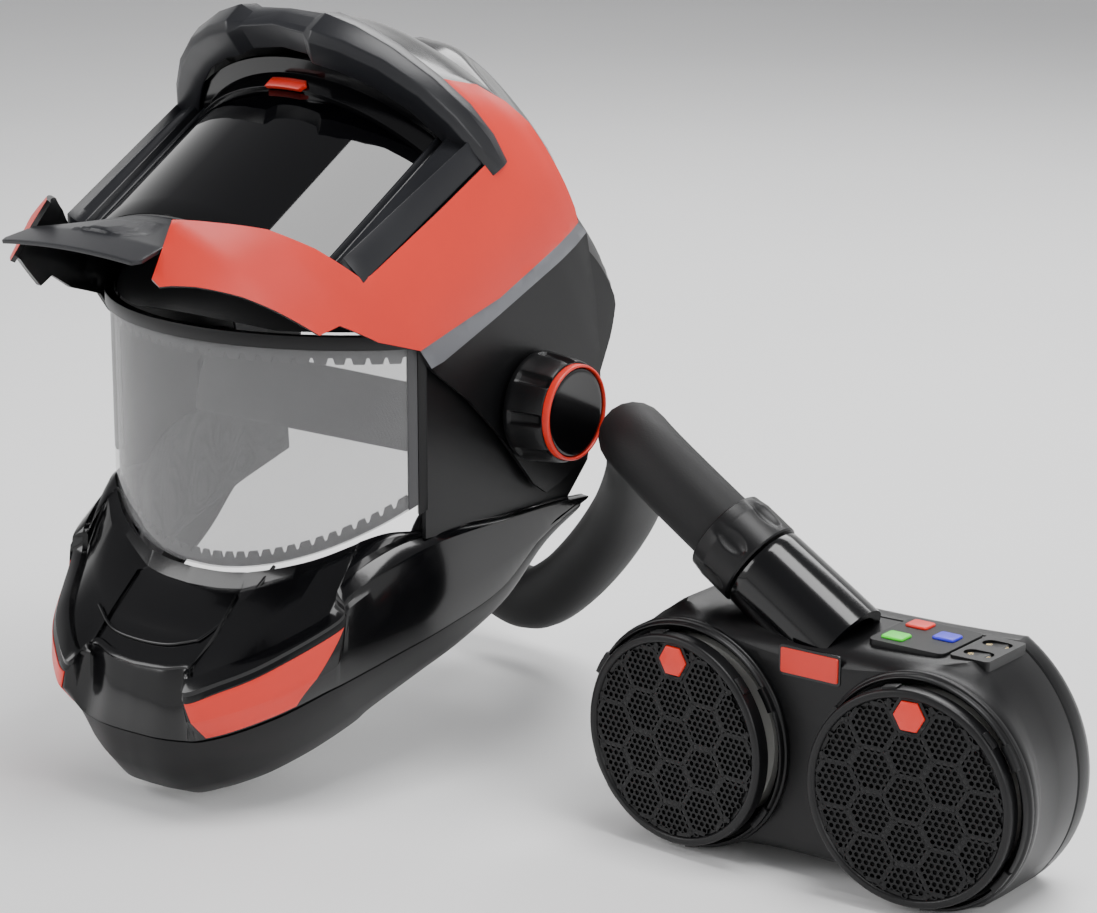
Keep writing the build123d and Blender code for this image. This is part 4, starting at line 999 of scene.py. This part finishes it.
# depth, then the outline's six measures
FRONT_SECTIONS = [(-58, 74, 131, 62, 60.6, 52, -48), (-55, 76, 131.3, 66, 61.4, 57, -51),
                  (-50, 82, 129.4, 73, 63.2, 60.5, -53.5), (-44, 90, 126, 83, 65, 62.2, -55.5),
                  (-38, 94, 124, 86, 65.4, 62.6, -56), (-20, 95, 123.8, 86, 65.4, 62.6, -56.4),
                  (-1.2, 95, 123.8, 86, 65.4, 62.6, -56.8), (-0.4, 94.6, 123, 85.6, 64.6, 62,
                                                             -56.2)]
REAR_SECTIONS = [(0.3, 94.6, 123, 85.6, 64.6, 62, -56.2), (1.0, 95, 123.8, 86, 65.4, 62.6, -56.8),
                 (9, 95, 123.8, 86, 65.4, 62.6, -57), (13.5, 94, 122.6, 85, 64.2, 61.6, -56.4),
                 (16.6, 91.5, 119.6, 82.6, 61.4, 59.2, -54.6), (17.8, 88, 114.5, 79, 57, 55.4,
                                                                -51.5)]


def housing_rows(sections):
    """The outline at each section's depth."""
    return [[at_blower(x, y, z) for x, z in body_outline(*measures)] for y, *measures in sections]


def make_housing():
    """Front shell, its face with two round openings, and the rear shell."""
    look = ("helmet", "black_satin", (black_satin,))
    add("blower_front_housing", grid(housing_rows(FRONT_SECTIONS), closed=True), *look,
        "blower_front", thickness=2.2, bevel=0.3, sharp=40)
    bores = [[(side * LOBE + 57.6 * math.cos(a), 57.6 * math.sin(a)) for a in turns(96)]
             for side in (-1, 1)]
    flat, triangles = fill(body_outline(*FRONT_SECTIONS[0][1:]), 4.5, bores)
    points = [at_blower(x, FRONT_Y + 0.02, z) for x, z in flat]
    add("blower_front_face", (points, triangles), *look, thickness=2.0, bevel=0.2)
    rows = housing_rows(REAR_SECTIONS)
    points, faces = grid(rows, closed=True)
    faces.append(tuple(range(len(points) - len(rows[0]), len(points))))
    add("blower_rear_housing", (points, faces), *look, "blower_rear", bevel=0.4, sharp=40)


make_housing()

RING_PROFILE = [(57.6, -2.0), (61.0, -1.0), (61.3, 1.6), (60.9, 2.4), (59.9, 2.8), (59.7, 4.6),
                (59.2, 5.4),
                (58.6, 5.8), (58.2, 5.4), (58.1, 2.0), (57.6, 1.4), (55, 1.2), (55, -2.0)]
LUG_ANGLES = (24, 144, 204, 318)


def sector_block(centre, axis, up_way, radii, angles, depths, count=9):
    """Closed block that is a sector of a ring."""
    axis, up_way = Vector(axis).normalized(), Vector(up_way)
    side = up_way.cross(axis)
    rows = []
    for a in spread(math.radians(angles[0]), math.radians(angles[1]), count):
        way = side * math.cos(a) + up_way * math.sin(a)
        corners = ((radii[0], depths[0]), (radii[1], depths[0]),
                   (radii[1], depths[1]), (radii[0], depths[1]))
        rows.append([Vector(centre) + way * r + axis * d for r, d in corners])
    return capped(rows)


for side, name in SIDES:
    centre = at_blower(side * LOBE, FRONT_Y, 0)
    parts = [lathe(RING_PROFILE, centre, (0, -1, 0), (0, 0, 1), 144)]
    parts += [sector_block(centre, (0, -1, 0), (0, 0, 1), (56.9, 60.4), (a, a + 13), (4.0, 7.2))
              for a in LUG_ANGLES]
    add("filter_ring_" + name, merge(parts), "helmet", "black_satin", (black_satin,),
        bevel=0.3, sharp=30)

# ---- filter covers ------------------------------------------------------------------------------
CAP_Y, SPLAY = -75.0, math.radians(4)
COVER_PROFILE = [(53.4, -8.8), (55.8, -8.8), (55.9, -1.6), (55.2, -0.6), (54.0, -0.2), (52.4, -0.2),
                 (51.6, -0.9),
                 (51.2, -2.0), (49.4, -2.2), (49.4, -3.8), (53.4, -3.8)]
PLATE_RADIUS = 50.0
HOLE_PITCH, HOLE_RADIUS = 3.6, 1.28
RIB_SIDE, RIB_HALF, RIB_TALL = 13.2, 1.3, 1.25
PLATE_TOP, RIB_FOOT = -2.4, -2.9
TAB_AT = (0, 43)


def cover_frame(side):
    """A cover's centre, its direction across and its outward direction."""
    turn = side * SPLAY
    across = Vector((math.cos(turn), math.sin(turn), 0))
    return at_blower(side * LOBE, CAP_Y, 0), across, Vector((math.sin(turn), -math.cos(turn), 0))


def hexagon(centre, radius, turn=0.0):
    """Six corners round a centre."""
    angles = [turn + k * math.pi / 3 for k in range(6)]
    return [(centre[0] + radius * math.cos(t), centre[1] + radius * math.sin(t)) for t in angles]


def perforated_plate():
    """Flat tiles, each a hexagon with a round hole, that meet edge to edge."""
    points, faces = [], []
    reach = HOLE_PITCH / math.sqrt(3)
    rows = int(PLATE_RADIUS / (HOLE_PITCH * ROW_STEP)) + 1
    for j in range(-rows, rows + 1):
        for i in range(-rows - 2, rows + 3):
            cx, cy = (i + (j % 2) / 2) * HOLE_PITCH, j * HOLE_PITCH * math.sqrt(3) / 2
            if math.hypot(cx, cy) > PLATE_RADIUS:
                continue
            corners = hexagon((cx, cy), reach, math.pi / 6)
            outer = []
            for a, b in zip(corners, corners[1:] + corners[:1]):
                outer += [a, ((a[0] + b[0]) / 2, (a[1] + b[1]) / 2)]
            first = len(points)
            points += outer
            angles = [math.pi / 6 * (k + 1) for k in range(12)]
            points += [(cx + HOLE_RADIUS * math.cos(t), cy + HOLE_RADIUS * math.sin(t))
                       for t in angles]
            faces += [(first + k, first + (k + 1) % 12, first + 12 + (k + 1) % 12, first + 12 + k)
                      for k in range(12)]
    return points, faces


def rib_bars():
    """Bars along the edges of the large hexagons."""
    edges = set()
    for i in range(-4, 5):
        for j in range(-5, 6):
            cx, cy = i * 1.5 * RIB_SIDE, (j + (i % 2) / 2) * math.sqrt(3) * RIB_SIDE
            corners = hexagon((cx, cy), RIB_SIDE)
            for a, b in zip(corners, corners[1:] + corners[:1]):
                ends = sorted([(round(a[0], 2), round(a[1], 2)), (round(b[0], 2), round(b[1], 2))])
                edges.add(tuple(ends))
    return [e for e in sorted(edges) if min(math.hypot(*e[0]), math.hypot(*e[1])) < PLATE_RADIUS]


def bar(a, b, half):
    """Closed bar outline between two points, shortened to stay inside the plate."""
    ends = []
    for p, q in ((a, b), (b, a)):
        if math.hypot(*p) > PLATE_RADIUS + 0.4:
            low, high = 0.0, 1.0
            for _ in range(12):
                f = (low + high) / 2
                r = math.hypot(p[0] + (q[0] - p[0]) * f, p[1] + (q[1] - p[1]) * f)
                low, high = (f, high) if r > PLATE_RADIUS + 0.4 else (low, f)
            p = (p[0] + (q[0] - p[0]) * high, p[1] + (q[1] - p[1]) * high)
        ends.append(p)
    (ax, ay), (bx, by) = ends
    length = math.dist(*ends)
    if length < 0.8:
        return None
    ux, uy = (bx - ax) / length, (by - ay) / length
    over = 0.55             # how far a bar runs past its ends, in half widths
    ax, ay = ax - ux * half * over, ay - uy * half * over
    bx, by = bx + ux * half * over, by + uy * half * over
    return [(ax - uy * half, ay + ux * half), (ax + uy * half, ay - ux * half),
            (bx + uy * half, by - ux * half), (bx - uy * half, by + ux * half)]


def make_cover(side, name):
    """Filter cover: rim with lugs, perforated plate, ribs, felt behind it and the release tab."""
    centre, across, out = cover_frame(side)
    look = (name + "_cover", "black_satin", (black_satin,))

    def at(x, y, d):
        return centre + across * x + Vector((0, 0, y)) + out * d

    parts = [lathe(COVER_PROFILE, centre, out, (0, 0, 1), 144)]
    parts += [sector_block(centre, out, (0, 0, 1), (54.6, 57.0), (a, a + 9), (-7.5, -2.2))
              for a in (38, 98, 218, 278)]
    add("filter_cover_rim_" + name, merge(parts), *look, "filter_cover_" + name,
        bevel=0.25, sharp=30)
    flat, quads = perforated_plate()
    add("filter_cover_mesh_" + name, ([at(x, y, PLATE_TOP) for x, y in flat], quads),
        name + "_cover", "black_satin", (black_matte,), thickness=1.3, sharp=40)
    parts = []
    for a, b in rib_bars():
        shape = bar(a, b, RIB_HALF)
        if shape:
            parts.append(flipped(block([at(x, y, RIB_FOOT) for x, y in shape],
                                       [at(x, y, PLATE_TOP + RIB_TALL) for x, y in shape])))
    add("filter_cover_ribs_" + name, merge(parts), *look, bevel=0.3, weld=False)
    backing = [(0, -4.6), (50, -4.6), (50, -6.0), (0, -6.0)]
    add("filter_cover_felt_" + name, lathe(backing, centre, out, (0, 0, 1)), name + "_cover",
        "filter_media", (black_matte,), sharp=40)
    # release tab: a domed hexagon in a raised frame
    frame_out, frame_in = hexagon(TAB_AT, 11.0), hexagon(TAB_AT, 8.9)
    parts = []
    for k in range(6):
        shape = [frame_out[k], frame_out[(k + 1) % 6], frame_in[(k + 1) % 6], frame_in[k]]
        parts.append(block([at(x, y, RIB_FOOT) for x, y in shape],
                           [at(x, y, -0.8) for x, y in shape]))
    add("release_tab_frame_" + name, merge(parts), *look, bevel=0.2)
    levels = [(8.6, -2.3), (8.6, -0.2), (8.2, 0.35), (7.4, 0.6), (0.01, 0.75)]
    points, faces = grid([[at(x, y, d) for x, y in hexagon(TAB_AT, r)] for r, d in levels],
                         closed=True)
    faces.append((5, 4, 3, 2, 1, 0))
    add("release_tab_button_" + name, (points, faces), name + "_tab", "red_paint", (red_paint,),
        "release_tab_" + name, bevel=0.25, sharp=40)


for side, name in SIDES:
    make_cover(side, name)


# ---- red name plate blank -----------------------------------------------------------------------
def rounded(width, height, corner, centre=(0.0, 0.0), count=5):
    """Rounded rectangle outline."""
    points = []
    for k, (sx, sy) in enumerate(((1, 1), (-1, 1), (-1, -1), (1, -1))):
        cx, cy = centre[0] + sx * (width / 2 - corner), centre[1] + sy * (height / 2 - corner)
        for a in spread(math.pi / 2 * k, math.pi / 2 * (k + 1), count):
            points.append((cx + corner * math.cos(a), cy + corner * math.sin(a)))
    return points


def slab(outline, low, high, place, crown=0.0):
    """Closed plate from an outline; place(x, y, d) sets each point."""
    middle = (sum(x for x, _ in outline) / len(outline), sum(y for _, y in outline) / len(outline))
    rows = []
    for shrink, d in ((0, low), (0, high - crown), (crown, high)):
        row = []
        for x, y in outline:
            dx, dy = x - middle[0], y - middle[1]
            reach = math.hypot(dx, dy)
            f = (reach - shrink) / reach
            row.append(place(middle[0] + dx * f, middle[1] + dy * f, d))
        rows.append(row)
    return capped(rows)


def on_front(x, z, d):
    """Point on the blower's front face, d proud of it."""
    return at_blower(x, FRONT_Y - d, z)


add("blower_badge", slab(rounded(34, 13, 1, (2, 51)), -0.3, 1.0, on_front, 0.3), "helmet",
    "red_paint", (red_paint,), "label_plate", sharp=40)
add("blower_badge_seat", slab(rounded(37, 16, 2, (2, 51)), -0.6, 0.35, on_front, 0.3), "helmet",
    "black_satin", (black_gloss,), sharp=40)

# ---- deck: membrane and keys --------------------------------------------------------------------
DECK_Z = BLOWER_Z + 65.5


def on_deck(x, y, d):
    """Point on the blower's deck, d above it."""
    return Vector((BLOWER_X + x, y, DECK_Z + d))


add("control_membrane", slab(rounded(43.6, 41.6, 4, (47, -21.7)), -3.0, 0.3, on_deck, 0.2),
    "helmet", "membrane", (black_matte,), "control_plate", sharp=40)
for name, at, slot, colour in (("power", (36, -9), "btn_red", key_red),
                               ("flow", (36, -32), "btn_green", key_green),
                               ("alarm", (57, -18), "btn_blue", key_blue)):
    add(name + "_key_cap", slab(rounded(12.6, 10.6, 1.6, at), 0.1, 1.6, on_deck, 0.6),
        name + "_key", slot, (colour,), name + "_button", bevel=0.2, sharp=50)

# ---- outlet tube and turning collar -------------------------------------------------------------
RISE = math.radians(33)
OUT_AXIS = Vector((-math.cos(RISE), 0, math.sin(RISE)))
OUT_UP = Vector((0, -1, 0))
OUTLET = Vector((265, -28, -38))


def make_outlet():
    """The elbow's straight tube, cut off under the deck by a large block."""
    profile = [(19.6, -29.6), (23.2, -29.6), (23.6, -30.2), (23.8, -34), (24.2, -52), (24.7, -74),
               (24.9, -90), (19.8, -90), (19.6, -29.6)]
    points, faces = lathe(profile, OUTLET, OUT_AXIS, OUT_UP, 96)
    piece = make("outlet_elbow", points, faces, "helmet", "black_gloss", (black_gloss,),
                 "outlet_tube")
    top = DECK_Z - 16
    layers = [[Vector((x, y, z)) * MM for x, y in ((200, -90), (420, -90), (420, 40), (200, 40))]
              for z in (top - 80, top)]
    corners, sides = block(*layers)
    cut = bpy.data.meshes.new("deck_cut")
    cut.from_pydata(corners, [], sides)
    tool = bpy.data.objects.new("deck_cut", cut)
    bpy.context.scene.collection.objects.link(tool)
    trim = piece.modifiers.new("trim", "BOOLEAN")
    trim.operation, trim.object, trim.solver = "DIFFERENCE", tool, "EXACT"
    settle(piece, sharp=35)
    bpy.data.objects.remove(tool)
    bpy.data.meshes.remove(cut)


def make_collar():
    """Turning collar with six oval finger dips."""
    outline = [(19.7, -28), (23.8, -28), (24.5, -27.2), (24.5, -26)]
    outline += [(24.5, d) for d in spread(-25, -9, 17)]
    outline += [(24.3, -8.2), (23.6, -4), (23.3, -1.6), (22.6, -1.0), (19.9, -1.0)]
    side = OUT_UP.cross(OUT_AXIS)
    rows = []
    for r, d in outline:
        row = []
        for a in turns(216):
            across = ((a * 6 / math.tau + 0.5) % 1 - 0.5) * math.tau / 6 * 24.5
            along_axis = (d + 15.5) / 9.5
            depth = 1 - along_axis ** 2
            span = 5.4 * math.sqrt(max(0.0, depth)) if abs(along_axis) < 1 else 0.0
            dip = 0.0
            if r > 24.0 and span > 0 and abs(across) < span:
                dip = 2.4 * (1 - (across / span) ** 2) * depth ** 0.5
            way = side * math.cos(a) + OUT_UP * math.sin(a)
            row.append(OUTLET + OUT_AXIS * d + way * (r - dip))
        rows.append(row)
    add("hose_collar_grip", grid(rows, closed=True), "collar", "black_satin", (black_satin,),
        "hose_collar", sharp=40)


make_outlet()
make_collar()

# ---- carried-over CAD pieces get their materials ------------------------------------------------
CARRIED = {
    black_satin: ("pivot_studs", "air_duct", "hose_inlet", "belt_clip", "fan_housing", "impeller",
                  "ratchet_knob", "socket_panel"),
    strap_plastic: ("headband", "rear_band", "crown_straps", "side_arms"),
    lens_black: ("dark_filter",), lens_clear: ("inner_lens",), paper: ("particle_filters",),
    gold: ("contact_pins",), steel: ("case_screws", "fan_motor"), cell_blue: ("battery_pack",),
    board_green: ("circuit_board",)}
for material, names in CARRIED.items():
    for name in names:
        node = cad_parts.get(name)
        if node is None:
            continue
        if not node.data.materials:
            node.data.materials.append(material)
        for k in range(len(node.data.materials)):
            node.data.materials[k] = material
        node.data.set_sharp_from_angle(angle=math.radians(30))


# ---- floor, world and lights --------------------------------------------------------------------
def make_stage():
    """White floor just under the object."""
    floor_z = cad_box[0][2] - 0.0006
    mesh = bpy.data.meshes.new("floor")
    corners = [(x, y, floor_z) for x, y in ((-12, -12), (12, -12), (12, 12), (-12, 12))]
    mesh.from_pydata(corners, [], [(0, 1, 2, 3)])
    colour, roughness = (0.93, 0.93, 0.93), 0.65
    white, principled = shader("floor_white", colour, roughness)
    vary(white, principled, colour, 0.015, roughness, 0.05, 2.0)
    mesh.materials.append(white)
    floor = bpy.data.objects.new("floor", mesh)
    bpy.context.scene.collection.objects.link(floor)


def make_world():
    """White sky that darkens to grey overhead."""
    world = bpy.data.worlds.new("studio")
    world.use_nodes = True
    nodes, links = world.node_tree.nodes, world.node_tree.links
    place = nodes.new("ShaderNodeTexCoord")
    split = nodes.new("ShaderNodeSeparateXYZ")
    ramp = nodes.new("ShaderNodeValToRGB")
    low, high = ramp.color_ramp.elements
    low.position, low.color = 0.0, (1.0, 1.0, 1.0, 1)
    high.position, high.color = 0.6, (0.30, 0.30, 0.31, 1)
    middle = ramp.color_ramp.elements.new(0.16)
    middle.color = (1.0, 1.0, 1.0, 1)
    links.new(place.outputs["Generated"], split.inputs["Vector"])
    links.new(split.outputs["Z"], ramp.inputs["Fac"])
    links.new(ramp.outputs["Color"], nodes["Background"].inputs["Color"])
    nodes["Background"].inputs["Strength"].default_value = 1.0
    bpy.context.scene.world = world


def softbox(name, at, aim, width, height, watts):
    """Rectangular area light."""
    data = bpy.data.lights.new(name, "AREA")
    data.shape, data.size, data.size_y, data.energy = "RECTANGLE", width, height, watts
    lamp = bpy.data.objects.new(name, data)
    lamp.location = at
    lamp.rotation_euler = (Vector(at) - Vector(aim)).to_track_quat("Z", "Y").to_euler()
    bpy.context.scene.collection.objects.link(lamp)


make_stage()
make_world()
softbox("overhead", (0.75, 0.05, 1.9), (0.2, 0.0, 0.0), 0.9, 1.2, 40)
softbox("left", (-1.4, -1.5, 1.1), (0.0, -0.05, -0.02), 1.2, 1.2, 26)
softbox("right", (2.2, -0.6, 0.9), (0.3, 0.0, -0.1), 0.9, 1.1, 14)
softbox("rear", (-0.3, 1.7, 1.5), (0.1, 0.0, 0.0), 1.6, 0.9, 34)
